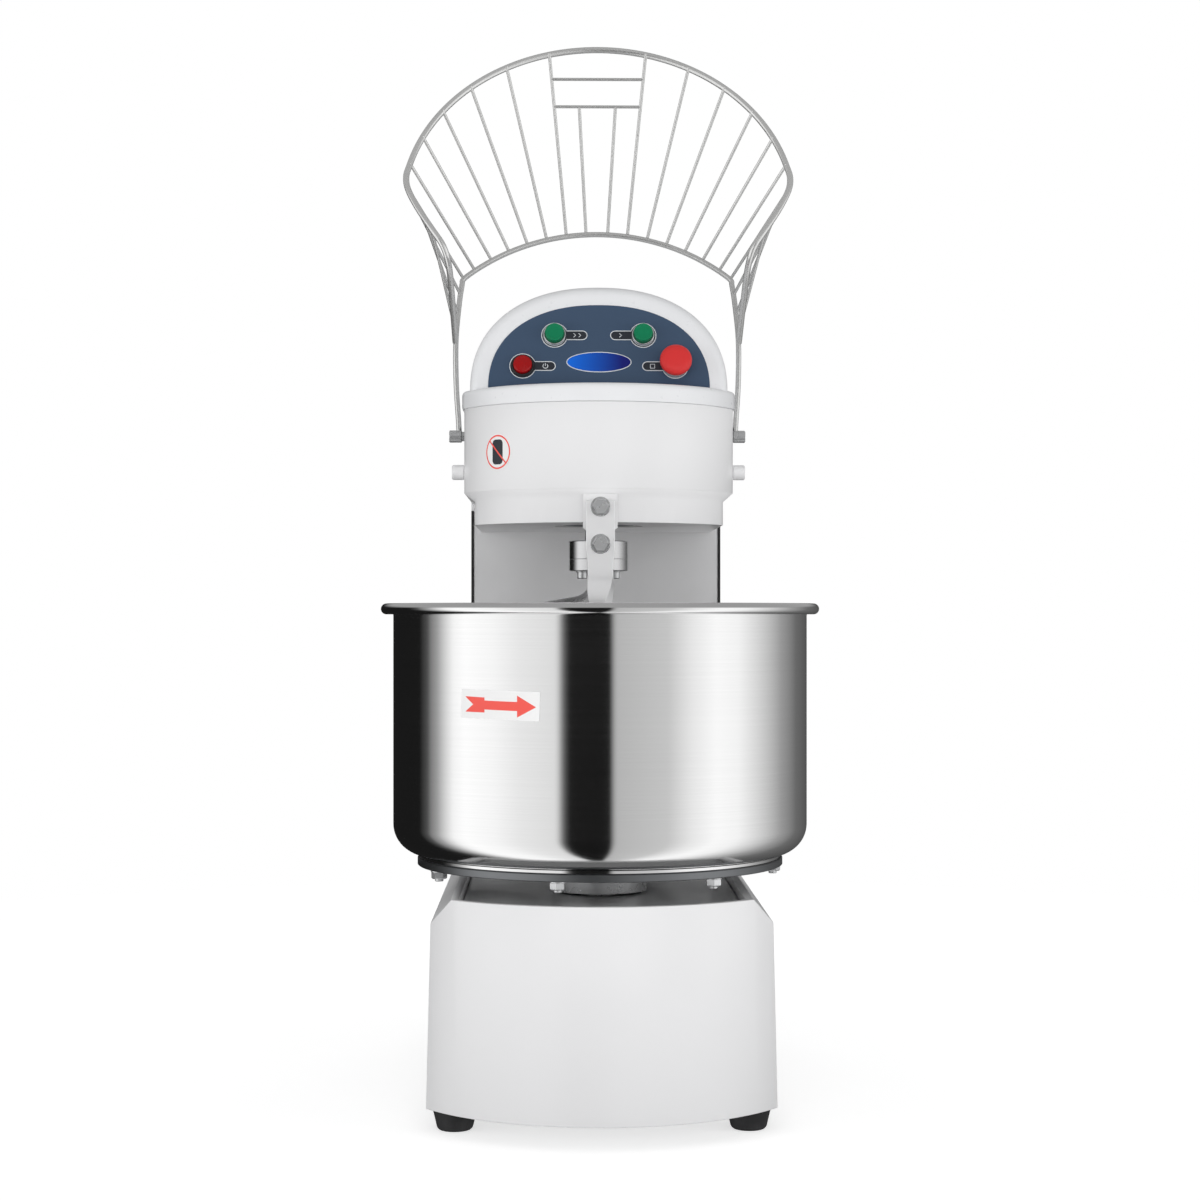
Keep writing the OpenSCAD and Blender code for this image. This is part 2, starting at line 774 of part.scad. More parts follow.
module breaker_bar() {
    color([0.75, 0.75, 0.77]) difference() {
        translate([0, bracket_front_y - bar_t / 2, 0]) {
            rotate([90, 0, 0]) linear_extrude(bar_t, center = true) polygon([
                [-bar_w / 2, bar_twist_z], [-bar_w / 2, bar_twist_z + 14], [-bar_head_w / 2, bar_twist_z + 32],
                [-bar_head_w / 2, bar_top_z], [bar_head_w / 2, bar_top_z],
                [bar_head_w / 2, bar_twist_z + 32], [bar_w / 2, bar_twist_z + 14], [bar_w / 2, bar_twist_z]
            ]);
            translate([0, 0, bar_twist_z - bar_twist_h]) linear_extrude(bar_twist_h, twist = -90, slices = 24)
                square([bar_t, bar_w], center = true);
            translate([-bar_t / 2, -bar_w / 2, bar_low_z])
                cube([bar_t, bar_w, bar_twist_z - bar_twist_h - bar_low_z]);
        }
        for (z = bar_bolt_zs) bar_hole(z);
    }
}

module bar_bolts() {
    front = bracket_front_y - bar_t;
    color("silver") for (z = bar_bolt_zs) translate([0, front, z]) rotate([90, 0, 0]) {
        cylinder(r = 12, h = 2, $fn = 60);
        translate([0, 0, 1.9]) cylinder(d = 19 / cos(30), h = 7.5, $fn = 6);
        translate([0, 0, -bar_t - bracket_t - 14]) cylinder(r = 6, h = bar_t + bracket_t + 15, $fn = 48);
    }
}

// Guard mountings ---------------------------------------------------------------------------

module guard_stop_studs() {
    color([0.93, 0.93, 0.93]) for (side = [-1, 1])
        translate([side * column_w / 2, stop_stud_y, stop_stud_z]) rotate([0, side * 90, 0])
            cylinder(r = stop_stud_r, h = stop_stud_x - column_w / 2, $fn = 72);
}

module guard_bushes() {
    color([0.2, 0.2, 0.2]) for (side = [-1, 1])
        translate([side * (column_w / 2 - 12), pivot_y, pivot_z]) rotate([0, side * 90, 0]) difference() {
            union() {
                cylinder(r = 11, h = 14, $fn = 60);
                translate([0, 0, 12]) cylinder(r = 13, h = 3, $fn = 60);
            }
            translate([0, 0, -1]) cylinder(r = pin_r + bearing_gap, h = 20, $fn = 60);
        }
}

module guard_switch() {
    color([0.15, 0.25, 0.5]) {
        translate([-158, pivot_y - 12, frame_top_z]) cube([12, 24, pivot_z - 20 - frame_top_z]);
        translate([-155, pivot_y - 3, pivot_z - 20]) cube([6, 6, 3.5]);
    }
}

module cable_gland() {
    color([0.12, 0.12, 0.13]) translate([110, back_y, 90]) rotate([-90, 0, 0]) difference() {
        union() {
            translate([0, 0, -12]) cylinder(r = 10, h = 13, $fn = 60);
            cylinder(d = 24 / cos(30), h = 5, $fn = 6);
            translate([0, 0, 5]) cylinder(r1 = 11, r2 = 8, h = 9, $fn = 60);
        }
        translate([0, 0, -13]) cylinder(r = 5, h = 40, $fn = 60);
    }
}

// Bearings and housings ---------------------------------------------------------------------

module bowl_bearing_housing() {
    color([0.4, 0.42, 0.44]) difference() {
        union() {
            disc_z(50, 130, plate_top_z - 1, 0, bowl_y);
            disc_z(95, plate_top_z - plate_t - 10, plate_top_z - plate_t, 0, bowl_y);
        }
        disc_z(bowl_bearing_r, 129, 300, 0, bowl_y);
        for (k = [0 : 5]) translate([0, bowl_y, 0]) rotate([0, 0, 60 * k]) translate([78, 0, 0])
            disc_z(5.2, 200, 300);
    }
}

module bowl_bearings() {
    color("silver") for (z = [132, 236]) {
        tube_z(bowl_bearing_r, 34, z, z + 18, 0, bowl_y);
        tube_z(32, bowl_shaft_r + bearing_gap, z, z + 18, 0, bowl_y);
        tube_z(34.5, 31.5, z + 6, z + 12, 0, bowl_y);
    }
}

module housing_bolts() {
    flange_low = plate_top_z - plate_t - 10;
    color("silver") {
        for (k = [0 : 5]) translate([0, bowl_y, 0]) rotate([0, 0, 60 * k]) translate([78, 0, 0]) {
            hexagon_z(16, flange_low - 7, flange_low);
            disc_z(5, flange_low - 1, flange_low + 10);
        }
        for (k = [0 : 3]) translate([0, spin_y, 0]) rotate([0, 0, 45 + 90 * k]) translate([62, 0, 0]) {
            hexagon_z(16, frame_top_z + 10, frame_top_z + 17);
            disc_z(5, head_low_z - 8, frame_top_z + 11);
        }
        motor_bolt_places() {
            hexagon_z(16, frame_top_z, frame_top_z + 7);
            disc_z(5, head_low_z - 14, frame_top_z + 1);
        }
    }
}

module spiral_bearing_housing() {
    color([0.4, 0.42, 0.44]) difference() {
        union() {
            disc_z(45, housing_low_z, housing_top_z, 0, spin_y);
            disc_z(75, frame_top_z, frame_top_z + 10, 0, spin_y);
        }
        disc_z(spiral_bearing_r, housing_low_z + 4, housing_top_z + 1, 0, spin_y);
        disc_z(spiral_shaft_r + 1, housing_low_z - 1, housing_top_z, 0, spin_y);
        for (k = [0 : 3]) translate([0, spin_y, 0]) rotate([0, 0, 45 + 90 * k]) translate([62, 0, 0])
            disc_z(5.2, 700, 800);
    }
}

module spiral_bearings() {
    color("silver") for (z = [housing_low_z + 5, housing_top_z - 19]) {
        tube_z(spiral_bearing_r, 30, z, z + 18, 0, spin_y);
        tube_z(28, spiral_shaft_r + bearing_gap, z, z + 18, 0, spin_y);
        tube_z(30.5, 27.5, z + 6, z + 12, 0, spin_y);
    }
}

module drive_shaft_bearings() {
    color([0.4, 0.42, 0.44]) {
        difference() {
            translate([shaft_x - 40, shaft_y - 30, foot_h + floor_t]) cube([80, 60, 42]);
            disc_z(drive_shaft_r + bearing_gap, 30, 100, shaft_x, shaft_y);
        }
        difference() {
            disc_z(42, head_low_z - 18, head_low_z, shaft_x, shaft_y);
            disc_z(drive_shaft_r + bearing_gap, 700, 800, shaft_x, shaft_y);
        }
    }
}

// Motor and electrics ---------------------------------------------------------------------

module motor_bolt_places() {
    for (k = [0 : 3]) translate([motor_x, motor_y, 0]) rotate([0, 0, 45 + 90 * k]) translate([66, 0, 0]) children();
}

module motor_body() {
    color([0.3, 0.4, 0.5]) difference() {
        union() {
            disc_z(motor_r - 8, motor_low_z - 40, head_low_z - 12, motor_x, motor_y);
            disc_z(motor_flange_r, head_low_z - 12, head_low_z, motor_x, motor_y);
            translate([motor_x, motor_y, motor_low_z]) for (k = [0 : 23]) rotate([0, 0, 15 * k])
                translate([motor_r - 9, -1.5, 0]) cube([9, 3, 190]);
            disc_z(motor_r, motor_low_z - 44, motor_low_z - 6, motor_x, motor_y);
        }
        disc_z(motor_shaft_r + bearing_gap, motor_low_z + 60, 800, motor_x, motor_y);
        motor_bolt_places() disc_z(5.2, head_low_z - 14.5, 800);
    }
}

module motor_terminal_box() {
    color([0.25, 0.27, 0.3]) translate([motor_x - 30, motor_y - motor_r - 36, 580]) cube([60, 36, 75]);
}

module contactor_box() {
    color([0.75, 0.75, 0.72]) {
        translate([30, back_y - 48, 440]) cube([115, 48 - sheet, 210]);
        for (k = [0 : 2]) translate([38 + 35 * k, back_y - 78, 540]) cube([30, 31, 60]);
        translate([38, back_y - 62, 470]) cube([98, 15, 22]);
    }
}

module drive_belts() {
    from = [0, spin_y];
    to = [motor_x, motor_y];
    color([0.08, 0.08, 0.08]) for (z = belt_zs)
        loop_band(big_pulley_r, small_pulley_r, from, to, belt_h / 2, z - belt_w / 2, z + belt_w / 2);
}

module drive_chains() {
    color([0.5, 0.5, 0.52]) {
        chain(spiral_teeth, top_shaft_teeth, [0, spin_y], [shaft_x, shaft_y], chain_z_head);
        chain(bowl_teeth, low_shaft_teeth, [0, bowl_y], [shaft_x, shaft_y], chain_z_base);
    }
}

// Bowl ------------------------------------------------------------------------------------

module bowl_shell() {
    r = bowl_r;
    c = bowl_corner_r;
    color([0.8, 0.8, 0.82]) translate([0, bowl_y, 0]) rotate_extrude($fn = 240) union() {
        polygon(concat(
            [[0, bowl_low_z]],
            [for (k = [0 : 12]) [r - c + c * sin(7.5 * k), bowl_low_z + c - c * cos(7.5 * k)]],
            [[r, bowl_rim_z - 4], [rim_r - bead_r, bowl_rim_z - 4], [rim_r - bead_r, bowl_rim_z],
                [r - bowl_t, bowl_rim_z]],
            [for (k = [12 : -1 : 0]) [
                r - c + (c - bowl_t) * sin(7.5 * k), bowl_low_z + c - (c - bowl_t) * cos(7.5 * k)]],
            [[0, bowl_low_z + bowl_t]]
        ));
        translate([rim_r - bead_r, bowl_rim_z - bead_r]) circle(r = bead_r, $fn = 32);
    }
}

module bowl_ring() {
    color([0.85, 0.85, 0.86]) difference() {
        tube_z(ring_r, 120, turntable_top_z, bowl_low_z, 0, bowl_y);
        stud_places() disc_z(stud_r, 290, bowl_low_z - 2);
    }
}

module stud_places() {
    for (k = [0 : bowl_studs - 1])
        translate([0, bowl_y, 0]) rotate([0, 0, stud_first_angle + k * 360 / bowl_studs])
            translate([stud_circle_r, 0, 0]) children();
}

module turntable() {
    color([0.5, 0.51, 0.53]) difference() {
        disc_z(turntable_r, turntable_low_z, turntable_top_z, 0, bowl_y);
        stud_places() disc_z(stud_r + 0.3, 280, 310);
    }
}

module bowl_stud_bolts() {
    color("silver") stud_places() {
        disc_z(stud_r, turntable_low_z - 13, bowl_low_z - 2);
        disc_z(10, turntable_low_z - 2, turntable_low_z);
        hexagon_z(16.5, turntable_low_z - 10, turntable_low_z - 1.9);
    }
}

module bowl_hub_shaft() {
    color([0.6, 0.6, 0.62]) translate([0, bowl_y, 0]) {
        disc_z(hub_r, hub_low_z, turntable_low_z);
        disc_z(bowl_shaft_r, bowl_shaft_low_z, hub_low_z + 1);
        sprocket(bowl_teeth, chain_z_base, 34, 96, 124) {
            for (k = [0 : 5]) rotate([0, 0, 60 * k]) translate([78, 0, 0]) disc_z(24, 90, 130);
        }
    }
}

// Arrow label that follows the curved side of the bowl
module arrow_sticker() {
    color([0.93, 0.93, 0.9]) intersection() {
        tube_z(bowl_r + 0.4, bowl_r, 440, 560, 0, bowl_y);
        translate([-162, bowl_y - bowl_r - 20, 481]) rotate([0, 1.5, 0]) cube([90, 100, 33]);
    }
}

// Spiral ------------------------------------------------------------------------------------

spiral_start = [
    [0, 0, flange_low_z + 4], [0, 0, 640], [-4, 0, 622], [-20, 0, 610], [-44, -1, 605], [-66, -2, 601]
];
function spiral_turn(u) =
    let (w = 180 - 430 * u, r = (spiral_r - 10) + 10 * min(1, 2 * u))
    [r * cos(w), r * sin(w), 596 - (596 - spiral_low_z) * pow(u, 0.92)];
spiral_path = smooth_path(concat(
    spiral_start,
    [for (k = [0 : 24]) spiral_turn(k / 24)]
), 3);

module spiral_hook() {
    color([0.78, 0.78, 0.8]) translate([0, spin_y, 0]) {
        difference() {
            disc_z(flange_r, flange_low_z, flange_mid_z);
            flange_bolt_places() disc_z(flange_bolt_r + 0.2, 640, 700);
        }
        intersection() {
            bar_along(spiral_path, spiral_bar_d / 2, 16);
            disc_z(200, 300, flange_low_z + 1);
        }
    }
}

module flange_bolt_places() {
    for (k = [0 : 3]) rotate([0, 0, 45 + 90 * k]) translate([flange_circle_r, 0, 0]) children();
}

module shaft_flange() {
    color([0.7, 0.7, 0.72]) translate([0, spin_y, 0]) difference() {
        disc_z(flange_r, flange_mid_z, flange_top_z);
        flange_bolt_places() disc_z(flange_bolt_r, flange_mid_z - 1, flange_top_z + 1);
        disc_z(spiral_shaft_r, flange_mid_z + 4, flange_top_z + 1);
    }
}

module flange_bolts() {
    color("silver") translate([0, spin_y, 0]) flange_bolt_places() {
        disc_z(flange_bolt_r, flange_low_z - 1, flange_top_z - 3);
        disc_z(8, flange_low_z - 1.5, flange_low_z);
        disc_z(6.5, flange_low_z - 9.5, flange_low_z - 1.4);
    }
}

module spiral_shaft_drive() {
    color([0.65, 0.65, 0.67]) translate([0, spin_y, 0]) {
        disc_z(spiral_shaft_r, flange_mid_z + 4, pulley_top_z + 3);
        pulley(big_pulley_r, 32, pulley_low_z, pulley_top_z);
        sprocket(spiral_teeth, chain_z_head, 28, housing_top_z + 4, pulley_low_z - 1);
    }
}

// Shafts ------------------------------------------------------------------------------------

module drive_shaft() {
    color([0.6, 0.6, 0.62]) translate([shaft_x, shaft_y, 0]) {
        disc_z(drive_shaft_r, drive_shaft_low_z, drive_shaft_top_z);
        sprocket(top_shaft_teeth, chain_z_head, 22, chain_z_head - 12, chain_z_head + 8) {
            for (k = [0 : 4]) rotate([0, 0, 72 * k]) translate([46, 0, 0]) disc_z(14, 780, 820);
        }
        sprocket(low_shaft_teeth, chain_z_base, 17, chain_z_base - 14, chain_z_base + 14);
    }
}

module motor_rotor() {
    color([0.6, 0.6, 0.62]) translate([motor_x, motor_y, 0]) {
        disc_z(motor_shaft_r, motor_low_z + 62, pulley_top_z + 3);
        pulley(small_pulley_r, 18, pulley_low_z, pulley_top_z);
    }
}

// Guard ------------------------------------------------------------------------------------

// Everything on the guard is drawn closed and swung up about the hinge
module swung() {
    translate([0, pivot_y, pivot_z]) rotate([-guard_open, 0, 0]) children();
}

function ring_point(w) = [ring_arc_a * sin(w), -ring_arc_s - ring_arc_b * cos(w), ring_t_off];
function inner_point(w) =
    [inner_arc_r * sin(w), -inner_front_s + inner_arc_r * (1 - cos(w)),
        inner_front_t + 0.09 * inner_arc_r * (1 - cos(w))];
ring_side = smooth_path([
    ring_point(ring_arc_end), [242, -246, ring_t_off], [229, -218, ring_t_off],
    [211, -188, ring_t_off], [196, -166, ring_t_off + 7], [189.5, -150, ring_t_off + 31],
    [187.5, -134, -118], [186, -115, -46]
], 4);
ring_arc = [for (w = [-ring_arc_end + 4 : 4 : ring_arc_end - 4]) ring_point(w)];
ring_path = concat(mirrored(ring_side), ring_arc, ring_side);

arm_side = smooth_path([
    inner_point(inner_corner_angle - 1.6), inner_point(inner_corner_angle) + [0.8, 2.2, 0],
    [178, -194, -61.3], [181.5, -168, -56.6], [185.5, -118, -46], [185, -64, -25.5], [182, -20, -7.8],
    [rod_hole_x, 0, 0], [rod_hole_x, 6.5, 2.6]
], 4);
inner_arc = [
    for (w = [-inner_corner_angle + 6 : 5.5 : inner_corner_angle - 5.5]) inner_point(w)
];
inner_path = concat(mirrored(arm_side), inner_arc, arm_side);

module guard_ring() {
    color([0.75, 0.74, 0.7]) swung() bar_along(ring_path, ring_rod_d / 2, 12);
}

module guard_inner_rod() {
    color([0.75, 0.74, 0.7]) swung() bar_along(inner_path, arm_rod_d / 2, 12);
}

// Where the radial wires and the side wires start and end
function wire_out(k) = ring_point(15.1 * k - 0.42 * k * k) + [0, 0, -ring_rod_d / 2 + 1];
function wire_in(k) = inner_point(min(40.2, 3 + 5.53 * k)) + [0, 0, arm_rod_d / 2 - 0.5];
function along(a, b, u) = a + u * (b - a);

module guard_wires() {
    r = wire_d / 2;
    color([0.75, 0.74, 0.7]) swung() {
        for (side = [0, 1]) mirror([side, 0, 0]) {
            for (k = [1 : guard_wires_per_side - 1]) wire(wire_out(k), wire_in(k), r);
            wire([242, -246, ring_t_off - 2], wire_in(guard_wires_per_side), r);
            wire([236.6, -231.7, ring_t_off - 2], [179, -178, -56.5], r);
            wire([221, -203, ring_t_off - 2], [182.5, -152, -51.5], r);
            wire([211, -188, ring_t_off - 2], [185, -126, -46], r);
            low_bar = along(wire_out(1), wire_in(1), crossbar_at[1]);
            wire([low_bar[0] * 0.42, low_bar[1], low_bar[2]], wire_in(0), r);
        }
        for (u = crossbar_at) {
            p = along(wire_out(1), wire_in(1), u);
            wire([-p[0], p[1], p[2]], p, r);
        }
    }
}

module guard_pins() {
    color("silver") swung() for (side = [-1, 1]) difference() {
        translate([side * 148, 0, 0]) rotate([0, side * 90, 0]) union() {
            cylinder(r = pin_r, h = pin_tip_x - 148, $fn = 60);
            cylinder(r = 13, h = 9, $fn = 60);
        }
        translate([side * rod_hole_x, 0, 0]) rotate([90 + 21.5, 0, 0])
            cylinder(r = arm_rod_d / 2 + 0.2, h = 60, center = true, $fn = 40);
    }
}

rubber_feet();
foot_bolts();
base_floor_plate();
base_shell();
base_top_plate();
column_shell();
column_front_panel();
column_edge_trims();
rear_cover();
rear_cover_screws();
head_lower_box();
head_box();
head_frame_plate();
top_cover();
control_overlay();
panel_badge();
button_bezels();
contact_blocks();
power_lamp();
lamp_bezel();
stop_button_collar();
stop_button_stem();
stop_button_head();
fast_button_cap();
slow_button_cap();
safety_sticker();
bar_bracket();
breaker_bar();
bar_bolts();
guard_stop_studs();
guard_bushes();
guard_switch();
cable_gland();
bowl_bearing_housing();
bowl_bearings();
housing_bolts();
spiral_bearing_housing();
spiral_bearings();
drive_shaft_bearings();
motor_body();
motor_terminal_box();
contactor_box();
drive_belts();
drive_chains();
bowl_shell();
bowl_ring();
turntable();
bowl_stud_bolts();
bowl_hub_shaft();
arrow_sticker();
spiral_hook();
shaft_flange();
flange_bolts();
spiral_shaft_drive();
drive_shaft();
motor_rotor();
guard_ring();
guard_inner_rod();
guard_wires();
guard_pins();
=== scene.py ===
"""Studio scene of the spiral dough mixer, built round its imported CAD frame."""

import json
import math

import bmesh
import bpy
from mathutils import Matrix, Vector


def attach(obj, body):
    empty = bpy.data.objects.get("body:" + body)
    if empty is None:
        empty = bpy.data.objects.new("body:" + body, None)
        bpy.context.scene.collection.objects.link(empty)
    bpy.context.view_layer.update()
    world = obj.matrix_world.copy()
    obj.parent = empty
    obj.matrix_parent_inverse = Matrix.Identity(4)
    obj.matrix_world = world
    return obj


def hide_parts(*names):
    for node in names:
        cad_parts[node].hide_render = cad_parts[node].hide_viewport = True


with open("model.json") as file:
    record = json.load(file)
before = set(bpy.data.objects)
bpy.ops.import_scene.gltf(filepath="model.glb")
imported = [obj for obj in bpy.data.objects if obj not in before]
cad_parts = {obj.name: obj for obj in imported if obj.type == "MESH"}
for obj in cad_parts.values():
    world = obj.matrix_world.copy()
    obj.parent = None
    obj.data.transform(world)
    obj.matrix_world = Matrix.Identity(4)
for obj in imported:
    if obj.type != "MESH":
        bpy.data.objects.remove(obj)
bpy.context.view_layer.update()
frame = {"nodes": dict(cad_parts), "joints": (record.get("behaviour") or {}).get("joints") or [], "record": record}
scene = bpy.context.scene
MM = 0.001
RECORD = frame["record"]
JOINTS = {j["name"]: j for j in frame["joints"]}
BOWL = Vector(JOINTS["bowl_spin"]["pos_m"])
SPIN = Vector(JOINTS["spiral_spin"]["pos_m"])
PIVOT = Vector(JOINTS["guard_hinge"]["pos_m"])
GUARD_OPEN = math.radians(JOINTS["guard_hinge"]["range_deg"][1])


# Camera -----------------------------------------------------------------------------------


def make_camera():
    """A long lens a little below the bowl's rim, 5 cm to the left of the machine's middle plane."""
    distance, height, yaw = 2.9, 0.598, math.radians(0.95)
    data = bpy.data.cameras.new("camera")
    data.lens = 71.1
    data.sensor_width = 36
    data.shift_y = 0.0125
    camera = bpy.data.objects.new("camera", data)
    camera.location = (
        BOWL.x - distance * math.sin(yaw), BOWL.y - distance * math.cos(yaw), height,
    )
    camera.rotation_euler = (math.radians(90), 0, -yaw)
    scene.collection.objects.link(camera)
    scene.camera = camera


# Materials --------------------------------------------------------------------------------


class Material:
    """A Principled material with short calls for the nodes that vary it over the surface."""

    def __init__(self, name, color, roughness, **sockets):
        self.mat = bpy.data.materials.new(name)
        self.mat.use_nodes = True
        self.nodes, self.links = self.mat.node_tree.nodes, self.mat.node_tree.links
        self.shader = self.nodes["Principled BSDF"]
        self.color = color
        self.shader.inputs["Base Color"].default_value = (*color, 1)
        self.shader.inputs["Roughness"].default_value = roughness
        for key, value in sockets.items():
            self.shader.inputs[key.replace("_", " ").title()].default_value = value
        self.place = self.nodes.new("ShaderNodeTexCoord").outputs["Object"]

    def node(self, kind, links=(), **values):
        made = self.nodes.new(kind)
        for key, value in values.items():
            if key in made.inputs:
                made.inputs[key].default_value = value
            else:
                setattr(made, key, value)
        for key, source in links:
            self.links.new(source, made.inputs[key])
        return made

    def stretched(self, scale):
        """The place on the piece, in metres, with each axis stretched."""
        return self.node("ShaderNodeMapping", [("Vector", self.place)], Scale=scale).outputs[0]

    def noise(self, scale, detail=3.0, vector=None, rough=0.5):
        made = self.node(
            "ShaderNodeTexNoise", [("Vector", vector or self.place)], Scale=scale, Detail=detail,
            Roughness=rough,
        )
        return made.outputs["Fac"]

    def spread(self, value, low, high, start=0.3, end=0.7):
        """Maps a value that runs from start to end onto low to high."""
        made = self.node("ShaderNodeMapRange", [("Value", value)])
        for key, number in zip(("From Min", "From Max", "To Min", "To Max"), (start, end, low, high)):
            made.inputs[key].default_value = number
        return made.outputs["Result"]

    def tint(self, value, low, high, start=0.3, end=0.7):
        """Colours the surface from one colour to another as a value rises."""
        ramp = self.node("ShaderNodeValToRGB", [("Fac", value)])
        ramp.color_ramp.elements[0].position = start
        ramp.color_ramp.elements[1].position = end
        ramp.color_ramp.elements[0].color = (*low, 1)
        ramp.color_ramp.elements[1].color = (*high, 1)
        self.links.new(ramp.outputs["Color"], self.shader.inputs["Base Color"])
        return self

    def shade(self, value, dark=0.92, light=1.04, start=0.3, end=0.7):
        """Varies the material's own colour between a darker and a lighter one."""
        return self.tint(
            value, [c * dark for c in self.color], [min(1, c * light) for c in self.color], start, end
        )

    def rough(self, value, low, high, start=0.3, end=0.7):
        self.links.new(self.spread(value, low, high, start, end), self.shader.inputs["Roughness"])
        return self

    def bump(self, height, depth, strength=1.0):
        """A relief of the given depth in metres."""
        bump = self.node("ShaderNodeBump", [("Height", height)], Distance=depth, Strength=strength)
        self.links.new(bump.outputs["Normal"], self.shader.inputs["Normal"])
        return self


def srgb(*levels):
    """Linear colour of an 8-bit screen colour."""
    return [(v / 255 / 12.92) if v / 255 <= 0.04045 else ((v / 255 + 0.055) / 1.055) ** 2.4 for v in levels]


def paint(name, color, roughness):
    """Powder coat: a fine orange peel with faint clouding."""
    m = Material(name, color, roughness, coat_weight=0.25, coat_roughness=0.12)
    m.shade(m.noise(3.5, 2), 0.975, 1.01)
    m.rough(m.noise(40, 4), roughness - 0.05, roughness + 0.07)
    return m.bump(m.noise(420, 2), 0.00005, 0.6)


def plastic(name, color, roughness, grain=900, depth=0.00002, shine=0.5, **more):
    """Moulded plastic with a fine even grain."""
    m = Material(name, color, roughness, **more)
    m.shader.inputs["Specular IOR Level"].default_value = shine
    m.shade(m.noise(14, 3), 0.985, 1.01)
    m.rough(m.noise(120, 3), max(0.02, roughness - 0.03), roughness + 0.05)
    return m.bump(m.noise(grain, 2), depth, 0.5)


def rubber(name, color):
    m = Material(name, color, 0.72)
    m.shade(m.noise(60, 5), 0.7, 1.5)
    m.rough(m.noise(25, 4), 0.6, 0.85)
    return m.bump(m.noise(700, 4), 0.00008, 0.7)


def metal(name, color, roughness, stretch=(1, 1, 1), scale=300, metallic=1.0):
    """Steel whose fine scratches run along the axis that is stretched least."""
    m = Material(name, color, roughness, metallic=metallic)
    lines = m.noise(scale, 3, m.stretched(stretch), 0.5)
    m.shade(m.noise(9, 3), 0.94, 1.03)
    return m.rough(lines, roughness - 0.02, roughness + 0.03)


def turned_metal(name, color, roughness, **more):
    """Steel with turning lines that run round the upright axis."""
    m = Material(name, color, roughness, metallic=1.0, **more)
    lines = m.noise(1.0, 5, m.stretched((2, 2, 900)), 0.7)
    m.shade(lines, 0.96, 1.02)
    m.rough(lines, max(0.03, roughness - 0.03), roughness + 0.03)
    round_it = m.node("ShaderNodeTangent", direction_type="RADIAL", axis="Z")
    m.links.new(round_it.outputs["Tangent"], m.shader.inputs["Tangent"])
    return m.bump(lines, 0.000003, 0.3)


def badge(name):
    """Gloss blue that deepens from left to right."""
    m = Material(name, srgb(10, 40, 160), 0.34)
    m.shader.inputs["Specular IOR Level"].default_value = 0.35
    across = m.node("ShaderNodeSeparateXYZ", [("Vector", m.place)]).outputs["X"]
    ramp = m.tint(m.spread(across, 0, 1, -0.038, 0.03), srgb(0, 100, 212), srgb(6, 14, 104), 0.0, 1.0)
    return ramp.bump(m.noise(900, 2), 0.00001, 0.4)


def casting(name, color):
    m = Material(name, color, 0.55, metallic=0.3)
    m.shade(m.noise(30, 5), 0.75, 1.2)
    m.rough(m.noise(80, 4), 0.45, 0.7)
    return m.bump(m.noise(260, 5), 0.0003, 0.7)


def make_materials():
    made = {
        "white_paint": paint("white_paint", srgb(229, 229, 230), 0.36),
        "white_plastic": plastic(
            "white_plastic", srgb(226, 227, 229), 0.3, grain=260, depth=0.000003, coat_weight=0.2,
            coat_roughness=0.15,
        ),
        "turned_stainless": turned_metal(
            "turned_stainless", srgb(196, 196, 197), 0.2, anisotropic=0.6, anisotropic_rotation=0.25
        ),
        "satin_stainless": metal("satin_stainless", srgb(232, 232, 233), 0.34, (4, 4, 0.6), 220, 0.38),
        "panel_stainless": metal("panel_stainless", srgb(208, 208, 209), 0.5, (2, 2, 0.3), 160, 0.25),
        "bowl_stainless": turned_metal(
            "bowl_stainless", srgb(222, 222, 222), 0.115, anisotropic=0.85, anisotropic_rotation=0.25
        ),
        "guard_stainless": metal("guard_stainless", srgb(214, 214, 213), 0.22, scale=60, metallic=0.72),
        "zinc_steel": metal("zinc_steel", srgb(206, 207, 208), 0.26, scale=40, metallic=0.7),
        "dark_steel": metal("dark_steel", srgb(120, 122, 124), 0.38, scale=260),
        "bearing_steel": metal("bearing_steel", srgb(205, 206, 208), 0.12, scale=80),
        "cast_iron": casting("cast_iron", srgb(98, 102, 106)),
        "black_rubber": rubber("black_rubber", srgb(30, 30, 31)),
        "belt_rubber": rubber("belt_rubber", srgb(36, 36, 36)),
        "black_plastic": plastic("black_plastic", srgb(34, 34, 36), 0.45),
        "grey_plastic": plastic("grey_plastic", srgb(186, 187, 184), 0.4),
        "slate_film": plastic("slate_film", srgb(58, 76, 99), 0.5, grain=1600, depth=0.00003, shine=0.3),
        "blue_badge": badge("blue_badge"),
        "chrome_ring": metal("chrome_ring", srgb(206, 208, 210), 0.18, scale=60, metallic=0.85),
        "red_lens": plastic("red_lens", srgb(150, 0, 2), 0.24, shine=0.35),
        "red_button": plastic("red_button", srgb(206, 46, 46), 0.48, shine=0.35),
        "green_button": plastic("green_button", srgb(0, 116, 76), 0.4, shine=0.3),
        "sticker_film": plastic("sticker_film", srgb(235, 235, 235), 0.4),
        "motor_paint": paint("motor_paint", srgb(60, 84, 110), 0.45),
    }
    return {slot: m.mat for slot, m in made.items()}


MATERIALS = make_materials()
EXTRA = {
    "spiral_steel": metal("spiral_steel", srgb(212, 212, 213), 0.28, (4, 4, 0.6), 60, 0.85).mat,
    "dark_print": plastic("dark_print", srgb(32, 36, 44), 0.45, grain=1600).mat,
    "pale_print": plastic("pale_print", srgb(206, 210, 214), 0.45, grain=1600).mat,
    "red_print": plastic("red_print", srgb(236, 84, 74), 0.45, grain=1600).mat,
}
SLOT_OF = {part["node"]: part["material_slot"] for part in RECORD["subparts"]}
for node, slot_name in SLOT_OF.items():
    slots = frame["nodes"][node].data.materials
    slots.clear()
    slots.append(MATERIALS[slot_name])


